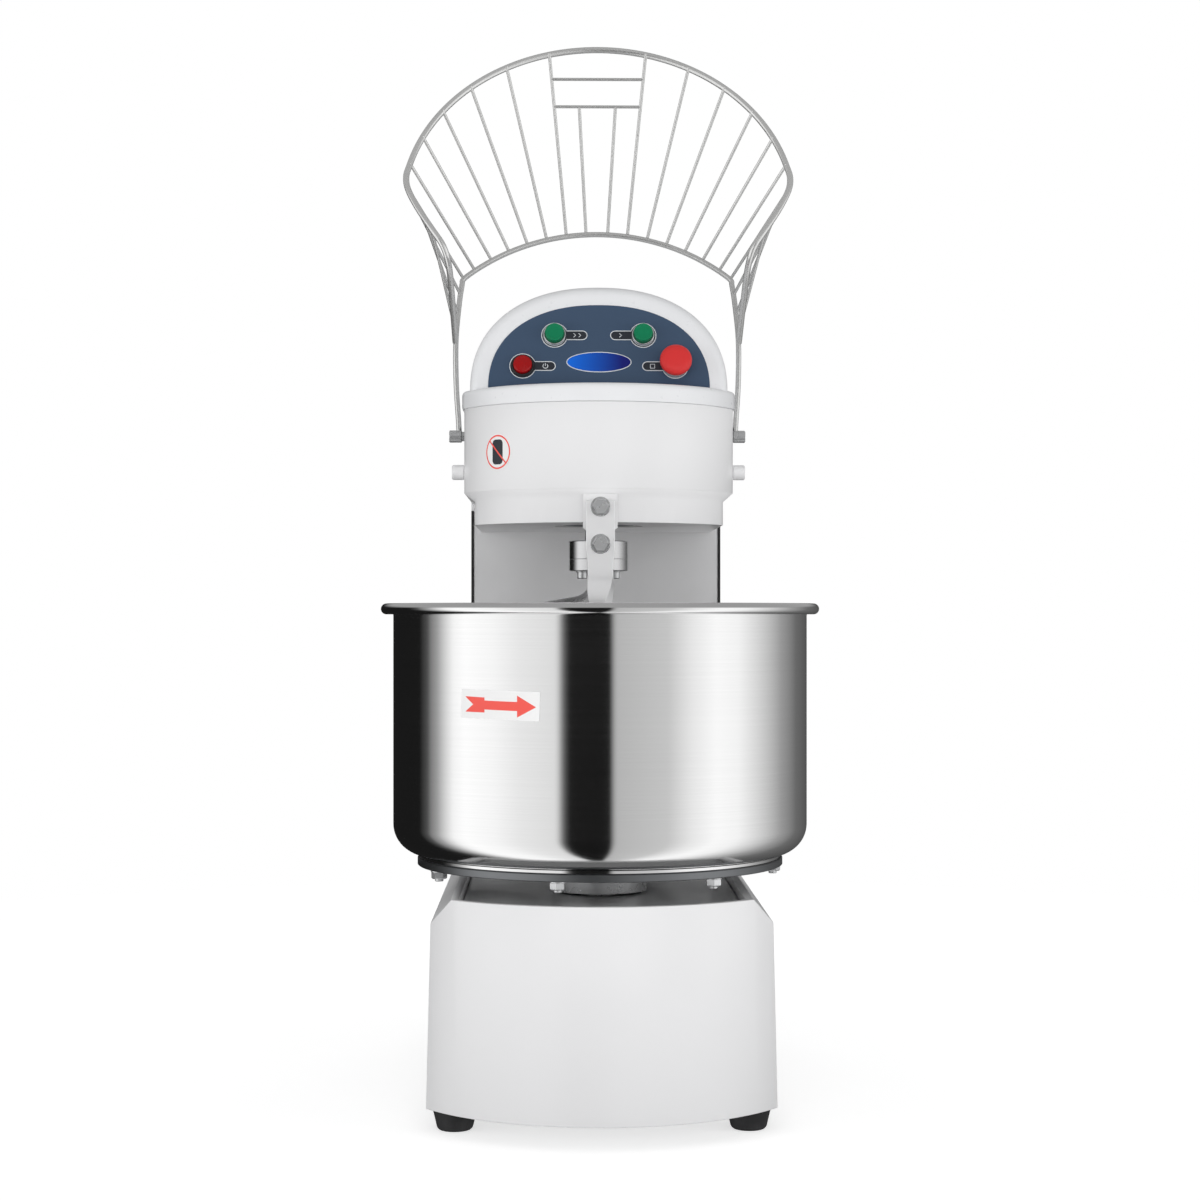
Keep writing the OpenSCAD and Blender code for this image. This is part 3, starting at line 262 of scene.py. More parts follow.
# Mesh tools -------------------------------------------------------------------------------


def piece(name, part, body, slot_name, replaces=(), sharp=35, material=None):
    """A mesh object that rides on its body: drawn in mm, and shaded smooth up to an edge angle."""
    mesh = bpy.data.meshes.new(name)
    mesh.from_pydata([tuple(p) for p in part[0]], [], part[1])
    mesh.transform(Matrix.Scale(MM, 4))
    work = bmesh.new()
    work.from_mesh(mesh)
    bmesh.ops.remove_doubles(work, verts=work.verts, dist=1e-7)
    bmesh.ops.dissolve_degenerate(work, edges=work.edges, dist=1e-7)
    bmesh.ops.recalc_face_normals(work, faces=work.faces)
    work.to_mesh(mesh)
    work.free()
    mesh.shade_smooth()
    mesh.set_sharp_from_angle(angle=math.radians(sharp))
    mesh.materials.append(material or MATERIALS[slot_name])
    made = bpy.data.objects.new(name, mesh)
    scene.collection.objects.link(made)
    weighted = made.modifiers.new("weighted", "WEIGHTED_NORMAL")
    weighted.keep_sharp = True
    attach(made, body)
    if replaces:
        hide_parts(*replaces)
    return made


def rounded(corners, steps=6):
    """Polyline through corners (x, y, radius), with an arc at each corner that has a radius."""
    made = []
    for i, (x, y, radius) in enumerate(corners):
        here = Vector((x, y))
        if radius == 0 or i in (0, len(corners) - 1):
            made.append(here)
            continue
        before = (Vector(corners[i - 1][:2]) - here).normalized()
        after = (Vector(corners[i + 1][:2]) - here).normalized()
        half = before.angle(after) / 2
        reach = radius / math.tan(half)
        centre = here + (before + after).normalized() * radius / math.sin(half)
        start, end = here + before * reach - centre, here + after * reach - centre
        turn = start.angle_signed(end)
        for k in range(steps + 1):
            w = -turn * k / steps
            made.append(centre + Matrix.Rotation(w, 2) @ start)
    return made


def closed_rounded(corners, steps=6):
    """Closed outline through corners (x, y, radius)."""
    ring = [corners[-1], *corners, corners[0]]
    return rounded(ring, steps)[1:-1]


def lathe(profile, steps=96):
    """Points and faces of a profile of (radius, height) turned round the upright axis."""
    points, faces = [], []
    for k in range(steps):
        w = 2 * math.pi * k / steps
        points += [(r * math.cos(w), r * math.sin(w), z) for r, z in profile]
    n = len(profile)
    for k in range(steps):
        a, b = k * n, (k + 1) % steps * n
        faces += [(a + i, b + i, b + i + 1, a + i + 1) for i in range(n - 1)]
    return points, faces


def stacked(rings, cap=True):
    """Skin over a stack of rings that have the same number of points."""
    n = len(rings[0])
    points = [p for ring in rings for p in ring]
    faces = []
    for i in range(len(rings) - 1):
        a, b = i * n, (i + 1) * n
        faces += [(a + k, a + (k + 1) % n, b + (k + 1) % n, b + k) for k in range(n)]
    if cap:
        faces += [tuple(range(n))[::-1], tuple(range(len(points) - n, len(points)))]
    return points, faces


def merged(*parts):
    """Several (points, faces) as one."""
    points, faces = [], []
    for p, f in parts:
        faces += [tuple(i + len(points) for i in face) for face in f]
        points += list(p)
    return points, faces


def moved(part, matrix):
    return [matrix @ Vector(p) for p in part[0]], part[1]


def slab(outline, low, high, soft=0.0, steps=3):
    """Upright prism of a closed outline whose top and bottom edges are softened."""
    rings = []
    levels = [(low + soft - soft * math.cos(w), soft - soft * math.sin(w)) for w in quarter(steps)]
    levels += [(high - soft + soft * math.sin(w), soft - soft * math.cos(w)) for w in quarter(steps)]
    for z, inset in levels if soft else [(low, 0), (high, 0)]:
        rings.append([(*inset_point(outline, i, inset), z) for i in range(len(outline))])
    return stacked(rings)


def quarter(steps):
    return [math.pi / 2 * k / steps for k in range(steps + 1)]


def inset_point(outline, i, inset):
    """Point i of a counter-clockwise outline, drawn in by an inset."""
    if inset == 0:
        return outline[i][0], outline[i][1]
    a, b, c = (Vector(outline[j % len(outline)][:2]) for j in (i - 1, i, i + 1))
    u, v = (b - a).normalized(), (c - b).normalized()
    inward = Vector((-u.y - v.y, u.x + v.x))
    inward = inward.normalized() if inward.length > 1e-6 else Vector((-u.y, u.x))
    lean = max(0.5, inward.dot(Vector((-u.y, u.x))))
    p = b + inward * inset / lean
    return p.x, p.y


def along(path, radii, sides=16, cap=True):
    """Round bar along a path of points, with one radius or a radius at each point."""
    path = [Vector(p) for p in path]
    radii = radii if isinstance(radii, list) else [radii] * len(path)
    rings, normal = [], None
    for i, p in enumerate(path):
        way = (path[min(i + 1, len(path) - 1)] - path[max(i - 1, 0)]).normalized()
        if normal is None:
            normal = way.orthogonal().normalized()
        normal = (normal - way * normal.dot(way)).normalized()
        other = way.cross(normal)
        rings.append([
            p + radii[i] * (math.cos(w) * normal + math.sin(w) * other)
            for w in (2 * math.pi * k / sides for k in range(sides))
        ])
    return stacked(rings, cap)


def smooth_path(points, steps=6):
    """Catmull-Rom curve through points."""
    p = [Vector(q) for q in points]
    p = [2 * p[0] - p[1], *p, 2 * p[-1] - p[-2]]
    made = []
    for i in range(1, len(p) - 2):
        a, b, c, d = p[i - 1 : i + 3]
        for k in range(steps):
            u = k / steps
            made.append(0.5 * (
                2 * b + (c - a) * u + (2 * a - 5 * b + 4 * c - d) * u * u + (3 * b - a - 3 * c + d) * u ** 3
            ))
    return [*made, p[-2]]


def hexagon(across, low, high, chamfer=0.0012):
    """Bolt head or nut with its corners turned down at the top."""
    r = across / 2 / math.cos(math.radians(30))
    corners = [(r * math.cos(w), r * math.sin(w)) for w in (math.radians(60 * k) for k in range(6))]
    outline = closed_rounded([(x, y, 0.0004) for x, y in corners], 2)
    rings = [[(x, y, low) for x, y in outline]]
    for share in (0.0, 0.5, 1.0):
        z = high - chamfer * (1 - share)
        limit = across / 2 * (1.13 - 0.15 * share)
        rings.append([
            (*(Vector((x, y)) * min(1, limit / math.hypot(x, y))), z) for x, y in outline
        ])
    return stacked(rings)


def pillar(radius, low, high, soft=0.0005, steps=32):
    """Short round pin with softened ends."""
    return lathe([
        (0, low), (radius - soft, low), (radius, low + soft), (radius, high - soft), (radius - soft, high),
        (0, high),
    ], steps)


# Frames of the machine --------------------------------------------------------------------

LEAN = math.radians(16)
HEAD_ARC_Y, BOWL_Y, SPIN_Y = -5, BOWL.y / MM, SPIN.y / MM
FACE_Y, SKIRT_TOP = -95, 881
DOME_HALF, DOME_RISE = 162, 134
BAR_Y = -195


def on_face(x, h, out=0.0):
    """Place on the leaning control panel: +Z comes out of it and +Y runs up it."""
    start = Matrix.Translation((x, FACE_Y + h * math.sin(LEAN), SKIRT_TOP + h * math.cos(LEAN)))
    return start @ Matrix.Rotation(math.radians(90) - LEAN, 4, "X") @ Matrix.Translation((0, 0, out))


SWUNG = Matrix.Translation(PIVOT / MM) @ Matrix.Rotation(-GUARD_OPEN, 4, "X")


def at(x, y, z=0, turn=0):
    return Matrix.Translation((x, y, z)) @ Matrix.Rotation(math.radians(turn), 4, "Z")


def round_front(width, radius, centre_y, back_y, steps=48):
    """Plan outline with straight sides, a square back and a front that is an arc."""
    half = width / 2
    reach = math.asin(half / radius)
    arc = [
        (radius * math.sin(w), centre_y - radius * math.cos(w))
        for w in (-reach + 2 * reach * k / steps for k in range(steps + 1))
    ]
    return [*arc, (half, back_y), (-half, back_y)]


def solid(part):
    mesh = bpy.data.meshes.new("tool")
    mesh.from_pydata([tuple(p) for p in part[0]], [], part[1])
    work = bmesh.new()
    work.from_mesh(mesh)
    bmesh.ops.remove_doubles(work, verts=work.verts, dist=1e-4)
    bmesh.ops.recalc_face_normals(work, faces=work.faces)
    work.to_mesh(mesh)
    work.free()
    tool = bpy.data.objects.new("tool", mesh)
    scene.collection.objects.link(tool)
    return tool


def carved(part, steps):
    """Part after each (operation, other part) of steps has been done to it."""
    body = solid(part)
    tools = []
    for operation, other in steps:
        tools.append(solid(other))
        cut = body.modifiers.new("cut", "BOOLEAN")
        cut.operation, cut.object, cut.solver = operation, tools[-1], "EXACT"
    seen = body.evaluated_get(bpy.context.evaluated_depsgraph_get())
    mesh = seen.to_mesh()
    result = [v.co.copy() for v in mesh.vertices], [tuple(p.vertices) for p in mesh.polygons]
    seen.to_mesh_clear()
    for tool in (body, *tools):
        data = tool.data
        bpy.data.objects.remove(tool)
        bpy.data.meshes.remove(data)
    return result


def soften(node, width, angle=30, segments=3):
    """Rounds the edges of a CAD piece."""
    shown = frame["nodes"][node]
    shown.data.shade_smooth()
    weld = shown.modifiers.new("weld", "WELD")
    weld.merge_threshold = 0.00001
    flat = shown.modifiers.new("flat", "DECIMATE")
    flat.decimate_type = "DISSOLVE"
    flat.angle_limit = math.radians(0.3)
    bevel = shown.modifiers.new("bevel", "BEVEL")
    bevel.width, bevel.segments, bevel.limit_method = width * MM, segments, "ANGLE"
    bevel.angle_limit = math.radians(angle)
    bevel.harden_normals = True


# Head -------------------------------------------------------------------------------------


def dome_outline(a, b, low, steps=72, power=2.25):
    """Half oval with full shoulders, closed along a level line below it."""
    made = []
    for k in range(steps + 1):
        w = math.pi * k / steps
        c = math.cos(w)
        x = a * math.copysign(abs(c) ** (2 / power), c)
        made.append((x, SKIRT_TOP + b * math.sin(w) ** (2 / power)))
    return [*made, (-a, low), (a, low)]


def dome(inset, low, rounding, steps=8):
    """The cover's dome between its leaning front and its leaning back."""
    front_y, back_y = FACE_Y + inset / math.cos(LEAN), 414 - inset
    back_lean = math.tan(math.radians(22))
    stations = [(rounding * (1 - math.sin(w)), rounding * (1 - math.cos(w))) for w in quarter(steps)]
    rings = []
    for drawn_in, deep in stations:
        rings.append([
            (x, front_y + (z - SKIRT_TOP) * math.tan(LEAN) + deep, z)
            for x, z in dome_outline(DOME_HALF - inset - drawn_in, DOME_RISE - inset - drawn_in, low)
        ])
    for drawn_in, deep in reversed(stations):
        rings.append([
            (x, back_y - (z - low) * back_lean - deep, z)
            for x, z in dome_outline(DOME_HALF - inset - drawn_in, DOME_RISE - inset - drawn_in, low)
        ])
    return stacked(rings)


CONTROLS = {"fast": (-55.8, 72.3), "slow": (55.8, 72.3), "lamp": (-95.8, 30.7), "stop": (95.8, 30.7)}


def make_cover():
    """Top cover: a skirt with a rounded upper edge and a soft-edged dome, hollow inside."""
    rings = []
    outline = round_front(345.4, 183, HEAD_ARC_Y, 418)
    for z, inset in [(858, 1.2), (858.4, 0.4), (859.2, 0)] + [
        (SKIRT_TOP - 7 + 7 * math.sin(w), 7 - 7 * math.cos(w)) for w in quarter(6)
    ]:
        rings.append([(*inset_point(outline, i, inset), z) for i in range(len(outline))])
    inner = slab(round_front(334.4, 177.5, HEAD_ARC_Y, 413), 850, 878)
    holes = [
        ("DIFFERENCE", moved(pillar(11.1, -24, 24), on_face(*spot))) for spot in CONTROLS.values()
    ]
    cover = carved(stacked(rings), [
        ("UNION", dome(0, 869, 12)), ("DIFFERENCE", inner), ("DIFFERENCE", dome(3, 869, 9)), *holes
    ])
    piece("top_cover_shell", cover, "chassis", "white_plastic", ["top_cover"], sharp=32)


def keyhole(side, radius=16.3, bar=5.9, reach=41, steps=40):
    """Outline round a control and its label tab, which points towards side (-1 or 1)."""
    start = math.asin(bar / radius)
    arc = [
        (radius * math.cos(w), radius * math.sin(w))
        for w in (start + (2 * math.pi - 2 * start) * k / steps for k in range(steps + 1))
    ]
    tip = [
        (reach - bar + bar * math.cos(w), bar * math.sin(w))
        for w in (-math.pi / 2 + math.pi * k / 12 for k in range(13))
    ]
    return [(side * x, y) for x, y in arc + tip]


def flat_shape(outline, z):
    return [(x, y, z) for x, y in outline], [tuple(range(len(outline)))]


def line(outline, width, z, closed=True):
    """Printed line of a width, centred on an outline."""
    n = len(outline)
    points, faces = [], []
    for i in range(n):
        before = Vector(outline[i - 1] if closed or i else outline[0])
        after = Vector(outline[(i + 1) % n] if closed or i < n - 1 else outline[-1])
        here = Vector(outline[i])
        way = (after - before).normalized()
        side = Vector((-way.y, way.x)) * width / 2
        points += [(*(here + side), z), (*(here - side), z)]
    for i in range(n if closed else n - 1):
        j = (i + 1) % n
        faces.append((2 * i, 2 * i + 1, 2 * j + 1, 2 * j))
    return points, faces


def oval(a, b, steps=64, power=2.0):
    made = []
    for k in range(steps):
        w = 2 * math.pi * k / steps
        c, s = math.cos(w), math.sin(w)
        made.append((
            a * math.copysign(abs(c) ** (2 / power), c), b * math.copysign(abs(s) ** (2 / power), s)
        ))
    return made


def symbol(kind, side, z):
    """Plain marks in the place of the words on the label tabs."""
    x = side * 28.5
    strokes = []
    if kind in ("fast", "slow"):
        for k in (0, 1) if kind == "fast" else (0.5,):
            at_x = x - 3.2 + 6.4 * k - 1.4
            strokes.append([(at_x, -2.6), (at_x + 2.8, 0), (at_x, 2.6)])
    elif kind == "lamp":
        strokes.append([(x + 3 * math.cos(w), 3 * math.sin(w)) for w in (
            math.radians(125 + 290 * k / 24) for k in range(25))])
        strokes.append([(x, 0.2), (x, 3.6)])
    else:
        strokes.append([(x - 2.7, -2.7), (x + 2.7, -2.7), (x + 2.7, 2.7), (x - 2.7, 2.7), (x - 2.7, -2.7)])
    return merged(*[line(s, 0.9, z, closed=False) for s in strokes])


def make_prints():
    """What is printed on the slate film: dark keyholes with a pale edge, and plain symbols."""
    dark, pale = [], []
    for kind, spot in CONTROLS.items():
        side = 1 if kind in ("fast", "lamp") else -1
        outline = keyhole(side)
        dark.append(moved(flat_shape(outline, 0.84), on_face(*spot)))
        pale.append(moved(line(outline, 1.05, 0.88), on_face(*spot)))
        pale.append(moved(symbol(kind, side, 0.89), on_face(*spot)))
    pale.append(moved(line(oval(40.4, 13.2), 1.3, 1.0), on_face(0, 36)))
    piece("panel_dark_print", merged(*dark), "chassis", "slate_film", material=EXTRA["dark_print"])
    piece("panel_pale_print", merged(*pale), "chassis", "slate_film", material=EXTRA["pale_print"])
    outline = oval(39.8, 12.6)
    rings = [
        [(x * s, y * s, z) for x, y in outline]
        for s, z in ((1, 0.8), (1, 1.5), (0.985, 1.8), (0.93, 2.0), (0.6, 2.15), (0.2, 2.2))
    ]
    piece("badge", moved(stacked(rings), on_face(0, 36)), "chassis", "blue_badge", ["panel_badge"])


def ring_of(profile, spot, steps=72):
    """A lathe part on the control panel."""
    return moved(lathe(profile, steps), on_face(*spot))


def make_controls():
    bezel = [
        (12, 0.8), (14.75, 0.8), (14.75, 2.2), (14.3, 3.0), (14.3, 4.6), (13.9, 5.4), (13.2, 5.8),
        (12.5, 5.6), (12, 5.0), (12, 0.8),
    ]
    bezels = merged(ring_of(bezel, CONTROLS["fast"]), ring_of(bezel, CONTROLS["slow"]))
    piece("start_bezels", bezels, "chassis", "chrome_ring", ["button_bezels"], sharp=50)
    low = [(r, min(z, 5.0)) for r, z in bezel[:7]] + [(12.5, 4.9), (12, 4.6), (12, 0.8)]
    piece("lamp_ring", ring_of(low, CONTROLS["lamp"]), "chassis", "black_plastic", ["lamp_bezel"], sharp=50)
    collar = [
        (12.6, 0.8), (15.5, 0.8), (15.5, 3.6), (15.0, 4.4), (14.2, 5.6), (13.4, 6.0), (12.6, 5.7), (12.6, 0.8)
    ]
    piece("stop_ring", ring_of(collar, CONTROLS["stop"]), "chassis", "chrome_ring",
          ["stop_button_collar"], sharp=50)
    cap = [
        (0, -14), (9.7, -14), (9.7, 4.8), (11.8, 4.8), (11.8, 11.6), (11.6, 12.3), (11.1, 12.8), (10.5, 13.0),
        (9.7, 12.9), (9.3, 12.6), (8.9, 12.45), (6.0, 12.3), (0, 12.2),
    ]
    for name in ("fast", "slow"):
        piece(f"{name}_cap", ring_of(cap, CONTROLS[name]), f"{name}_button", "green_button",
              [f"{name}_button_cap"], sharp=50)
    lens = [(0, -16), (9.5, -16), (9.5, 1.6), (11.8, 1.6), (11.8, 7.2)]
    lens += [(11.8 - 2.2 * (1 - math.cos(w)), 7.2 + 2.4 * math.sin(w)) for w in quarter(5)[1:]]
    lens += [(8.8, 9.9), (6, 10.5), (3, 10.85), (0, 11)]
    piece("lamp_lens", ring_of(lens, CONTROLS["lamp"]), "chassis", "red_lens", ["power_lamp"], sharp=50)
    head = [(0, 21), (5.3, 21), (5.3, 11.5), (10.5, 11.5), (10.5, 17), (18.5, 18), (19.6, 18.6), (20, 19.8)]
    head += [(20, 22.4)] + [(20 * math.cos(w) ** 0.62, 22.4 + 7.6 * math.sin(w)) for w in quarter(12)[1:-1]]
    head += [(0, 30)]
    piece("stop_mushroom", ring_of(head, CONTROLS["stop"], 96), "stop_head", "red_button",
          ["stop_button_head"], sharp=50)


def on_drum(radius, centre_y, middle, height):
    """Maps (along, up) in mm onto an upright drum, from an angle on it and a height."""

    def place(a, b):
        w = math.radians(middle) + a / radius
        return radius * math.cos(w), centre_y + radius * math.sin(w), height + b

    return place


def drum_strip(rows, place, steps=6):
    """Surface between rows of (along, low, high), resampled so that it follows the drum."""
    points, faces = [], []
    for (a0, l0, h0), (a1, l1, h1) in zip(rows, rows[1:]):
        if abs(a1 - a0) < 1e-6:
            continue
        for k in range(steps):
            u0, u1 = k / steps, (k + 1) / steps
            base = len(points)
            for u in (u0, u1):
                a = a0 + (a1 - a0) * u
                points += [place(a, l0 + (l1 - l0) * u), place(a, h0 + (h1 - h0) * u)]
            faces.append((base, base + 2, base + 3, base + 1))
    return points, faces


def make_labels():
    place = on_drum(180.46, HEAD_ARC_Y, -134.4, 799.5)
    ring, slash = [], []
    for k in range(72):
        turns = math.radians(5 * k), math.radians(5 * k + 5)
        corners = [place(r * math.cos(w), r * math.sin(w)) for w in turns for r in (19.2, 21.2)]
        ring.append((corners, [(0, 1, 3, 2)]))
    for k in range(12):
        u0, u1 = -19.6 + 39.2 * k / 12, -19.6 + 39.2 * (k + 1) / 12
        corners = [(u0, -1), (u1, -1), (u1, 1), (u0, 1)]
        slash.append(([place(0.7071 * (u + v), 0.7071 * (v - u)) for u, v in corners], [(0, 1, 2, 3)]))
    block = [
        (-9, -11, 11), (-7.6, -14, 14), (-4.5, -15.4, 15.4), (4.5, -15.4, 15.4), (7.6, -14, 14), (9, -11, 11),
    ]
    block = drum_strip(block, on_drum(180.43, HEAD_ARC_Y, -134.4, 799.5))
    piece("block_mark", block, "chassis", "sticker_film", material=EXTRA["dark_print"])
    piece("stop_mark", merged(*ring, *slash), "chassis", "sticker_film", material=EXTRA["red_print"])

    def on_bowl(u, v):
        w = math.radians(-129.95) + u / 252.5
        return 252.5 * math.cos(w), BOWL_Y + 252.5 * math.sin(w), 497 - 0.026 * u + v

    half = [
        (7.5, 8.2, 8.8), (18.5, 0, 8.7), (34.3, 0, 8.5), (34.31, 0, 5.1), (76.3, 0, 5.1), (76.31, 0, 12.4),
        (98.8, 0, 0.2),
    ]
    arrow = merged(drum_strip(half, on_bowl, 5), drum_strip([(u, -b, -a) for u, a, b in half], on_bowl, 5))
    piece("arrow_mark", arrow, "bowl_unit", "sticker_film", material=EXTRA["red_print"])


# Bowl -------------------------------------------------------------------------------------


def make_bowl():
    def arc(cr, cz, radius, first, last, steps):
        return [
            (cr + radius * math.cos(math.radians(w)), cz + radius * math.sin(math.radians(w)))
            for w in (first + (last - first) * k / steps for k in range(steps + 1))
        ]

    profile = [(0, 309), (110, 309)] + arc(216, 345, 36, -90, 0, 14)
    profile += [(252, 400), (252, 480), (252, 560), (252, 597), (252.3, 599.6), (253.4, 601.3)]
    profile += arc(260.4, 605.4, 6.6, 212, 450, 26)
    profile += [(257, 611.8), (254, 610.8), (251.6, 608.8), (250.3, 605.8), (250, 602)]
    profile += [(250, 560), (250, 450)] + arc(216, 345, 34, 0, -90, 12) + [(110, 311), (0, 311)]
    place = at(0, BOWL_Y)
    piece("bowl", moved(lathe(profile, 200), place), "bowl_unit", "bowl_stainless", ["bowl_shell"], sharp=40)
    ring = [
        (120, 304.4), (218.8, 304.4), (219.5, 305.1), (219.5, 308.2), (218.9, 308.7), (216, 309), (120, 309),
        (120, 304.4),
    ]
    piece("under_ring", moved(lathe(ring, 160), place), "bowl_unit", "bowl_stainless", ["bowl_ring"],
          sharp=40)
    table = [(0, 295.4), (221.6, 295.4), (222.5, 296.2), (222.5, 303.6), (221.6, 304.4), (0, 304.4)]
    piece("turntable_plate", moved(lathe(table, 160), place), "bowl_unit", "dark_steel", ["turntable"],
          sharp=40)
    studs = []
    for k in range(7):
        w = math.radians(-155.5 + k * 360 / 7)
        spot = at(211 * math.cos(w), BOWL_Y + 211 * math.sin(w), 0, 17 * k)
        head_down = spot @ Matrix.Translation((0, 0, 293.5)) @ Matrix.Rotation(math.pi, 4, "X")
        studs += [
            moved(pillar(5, 282.4, 307, 0.8, 24), spot),
            moved(pillar(10, 293.4, 295.4, 0.4, 32), spot),
            moved(hexagon(16.5, 0, 8.1, 1.3), head_down),
        ]
    piece("studs", merged(*studs), "bowl_unit", "zinc_steel", ["bowl_stud_bolts"])


# Spiral and breaker bar -------------------------------------------------------------------


def make_spiral():
    def turn(u):
        w = math.radians(180 - 430 * u)
        r = 88 + 10 * min(1, 2 * u)
        return r * math.cos(w), r * math.sin(w), 596 - 246 * u ** 0.92

    neck = [(0, 0, 658), (0, 0, 640), (-4, 0, 622), (-20, 0, 610), (-44, -1, 605), (-66, -2, 601)]
    path = smooth_path(neck + [turn(k / 24) for k in range(25)], 6)
    path = [p for p in path if p.z < 655]
    radii = [14.0] * (len(path) - 4) + [13.4, 12.0, 9.5, 5.0]
    place = at(0, SPIN_Y)
    flange = [(0, 654), (37.2, 654), (38, 654.8), (38, 668.6), (37.7, 669), (0, 669)]
    piece("spiral", moved(along(path, radii, 28), place), "spiral_unit", "satin_stainless",
          ["spiral_hook"], sharp=40, material=EXTRA["spiral_steel"])
    piece("lower_flange", moved(lathe(flange, 72), place), "spiral_unit", "satin_stainless", sharp=40,
          material=MATERIALS["turned_stainless"])
    upper = [(0, 669), (37.7, 669), (38, 669.4), (38, 691.2), (37.2, 692), (17.5, 692), (17.5, 720), (0, 720)]
    piece("upper_flange", moved(lathe(upper, 72), place), "spiral_unit", "turned_stainless",
          ["shaft_flange"], sharp=40)
    bolts = []
    for k in range(4):
        w = math.radians(45 + 90 * k)
        spot = place @ at(29 * math.cos(w), 29 * math.sin(w))
        bolts += [moved(pillar(r, lo, hi, 0.5, 32), spot) for r, lo, hi in (
            (8, 652.5, 654), (6.5, 644.5, 652.6), (4, 652, 689))]
    piece("flange_screws", merged(*bolts), "spiral_unit", "zinc_steel", ["flange_bolts"])


def make_bar():
    """Flat bar that turns on edge on its way down, and its bolts."""
    rings = []
    twist_top, twist_length, thickness = 647, 60, 12
    levels = [
        (737, 16.6), (736.2, 17.5), (690, 17.5), (679, 17.5), (670, 16.5), (661, 15.5), (654, 15.5),
        (twist_top, 15.5),
    ]
    levels += [(twist_top - twist_length * k / 30, 15.5) for k in range(1, 31)]
    levels += [(500, 15.5), (400, 15.5), (337, 15.5), (336, 14.6)]
    for z, half in levels:
        twist = -math.radians(90) * min(1, max(0, (twist_top - z) / twist_length))
        c, s = math.cos(twist), math.sin(twist)
        deep = thickness / 2 if half in (15.5, 16.5, 17.5) else 5.2
        corners = [(-half, -deep, 1.2), (half, -deep, 1.2), (half, deep, 1.2), (-half, deep, 1.2)]
        section = closed_rounded(corners, 3)
        rings.append([(x * c - y * s, BAR_Y + x * s + y * c, z) for x, y in section])
    piece("bar", stacked(rings), "chassis", "satin_stainless", ["breaker_bar"], sharp=40)
    bolts = []
    for z in (729, 684):
        spot = Matrix.Translation((0, BAR_Y - 6, z)) @ Matrix.Rotation(math.radians(90), 4, "X")
        bolts += [
            moved(pillar(12, 0, 2, 0.5, 48), spot), moved(hexagon(19, 1.9, 9.4, 1.5), spot),
            moved(pillar(6, -34, -1, 0.5), spot),
        ]
    piece("bar_screws", merged(*bolts), "chassis", "zinc_steel", ["bar_bolts"])


# Guard ------------------------------------------------------------------------------------


def make_guard():
    def ring_point(w):
        w = math.radians(w)
        return Vector((248.5 * math.sin(w), -224 - 236 * math.cos(w), -207))

    def inner_point(w):
        w = math.radians(w)
        lift = 272 * (1 - math.cos(w))
        return Vector((272 * math.sin(w), -266 + lift, -68 + 0.09 * lift))

    def mirrored(points):
        return [Vector((-p[0], p[1], p[2])) for p in reversed(points)]

    def rod(points, radius, sides=18):
        return moved(along(points, radius, sides), SWUNG)

    side = [ring_point(80), (242, -246, -207), (229, -218, -207), (211, -188, -207), (196, -166, -200),
            (189.5, -150, -176), (187.5, -134, -118), (186, -115, -46)]
    side = [Vector(p) for p in side]
    front = [ring_point(w) for w in range(-76, 77, 4)]
    ring = rod(smooth_path([*mirrored(side), *front, *side], 5), 4)
    piece("ring_rod", ring, "guard_unit", "guard_stainless", ["guard_ring"])
    arm = [Vector(p) for p in (
        inner_point(38.9), inner_point(40.5) + Vector((0.8, 2.2, 0)), (178, -194, -61.3),
        (181.5, -168, -56.6), (185.5, -118, -46), (185, -64, -25.5), (182, -20, -7.8), (181, 0, 0),
        (181, 6.5, 2.6),
    )]
    front = [inner_point(w) for w in (-34.5 + 5.3077 * k for k in range(14))]
    inner = rod(smooth_path([*mirrored(arm), *front, *arm], 5), 3.5)
    piece("arm_rod", inner, "guard_unit", "guard_stainless", ["guard_inner_rod"])
    wires = []

    def wire(a, b):
        wires.append(rod([a, Vector(a).lerp(Vector(b), 0.5), b], 2, 14))

    def outer_end(k):
        return ring_point(15.1 * k - 0.42 * k * k) + Vector((0, 0, -3))

    def inner_end(k):
        return inner_point(min(40.2, 3 + 5.53 * k)) + Vector((0, 0, 3))

    for sign in (-1, 1):
        def flip(p):
            return Vector((sign * p[0], p[1], p[2]))

        for k in range(1, 7):
            wire(flip(outer_end(k)), flip(inner_end(k)))
        wire(flip((242, -246, -209)), flip(inner_end(7)))
        wire(flip((236.6, -231.7, -209)), flip((179, -178, -56.5)))
        wire(flip((221, -203, -209)), flip((182.5, -152, -51.5)))
        wire(flip((211, -188, -209)), flip((185, -126, -46)))
        low = outer_end(1).lerp(inner_end(1), 0.285)
        wire(flip((low.x * 0.42, low.y, low.z)), flip(inner_end(0)))
    for u in (0.138, 0.285):
        p = outer_end(1).lerp(inner_end(1), u)
        wire((-p.x, p.y, p.z), p)
    piece("wires", merged(*wires), "guard_unit", "guard_stainless", ["guard_wires"])
    pins = []
    for sign in (-1, 1):
        lie = SWUNG @ Matrix.Rotation(math.radians(90 * sign), 4, "Y")
        pins += [
            moved(pillar(8, 148, 172.5, 0.6, 40), lie), moved(pillar(6.2, 172, 178, 0.3, 40), lie),
            moved(pillar(8, 177.5, 194, 0.9, 40), lie), moved(pillar(13, 148, 157, 0.8, 40), lie),
        ]
    piece("pins", merged(*pins), "guard_unit", "zinc_steel", ["guard_pins"])
    studs = []
    for sign in (-1, 1):
        lie = Matrix.Translation((0, -52, 779)) @ Matrix.Rotation(math.radians(90 * sign), 4, "Y")
        studs.append(moved(pillar(9.5, 170, 186, 1.4, 48), lie))
    piece("stop_studs", merged(*studs), "chassis", "white_paint", ["guard_stop_studs"])


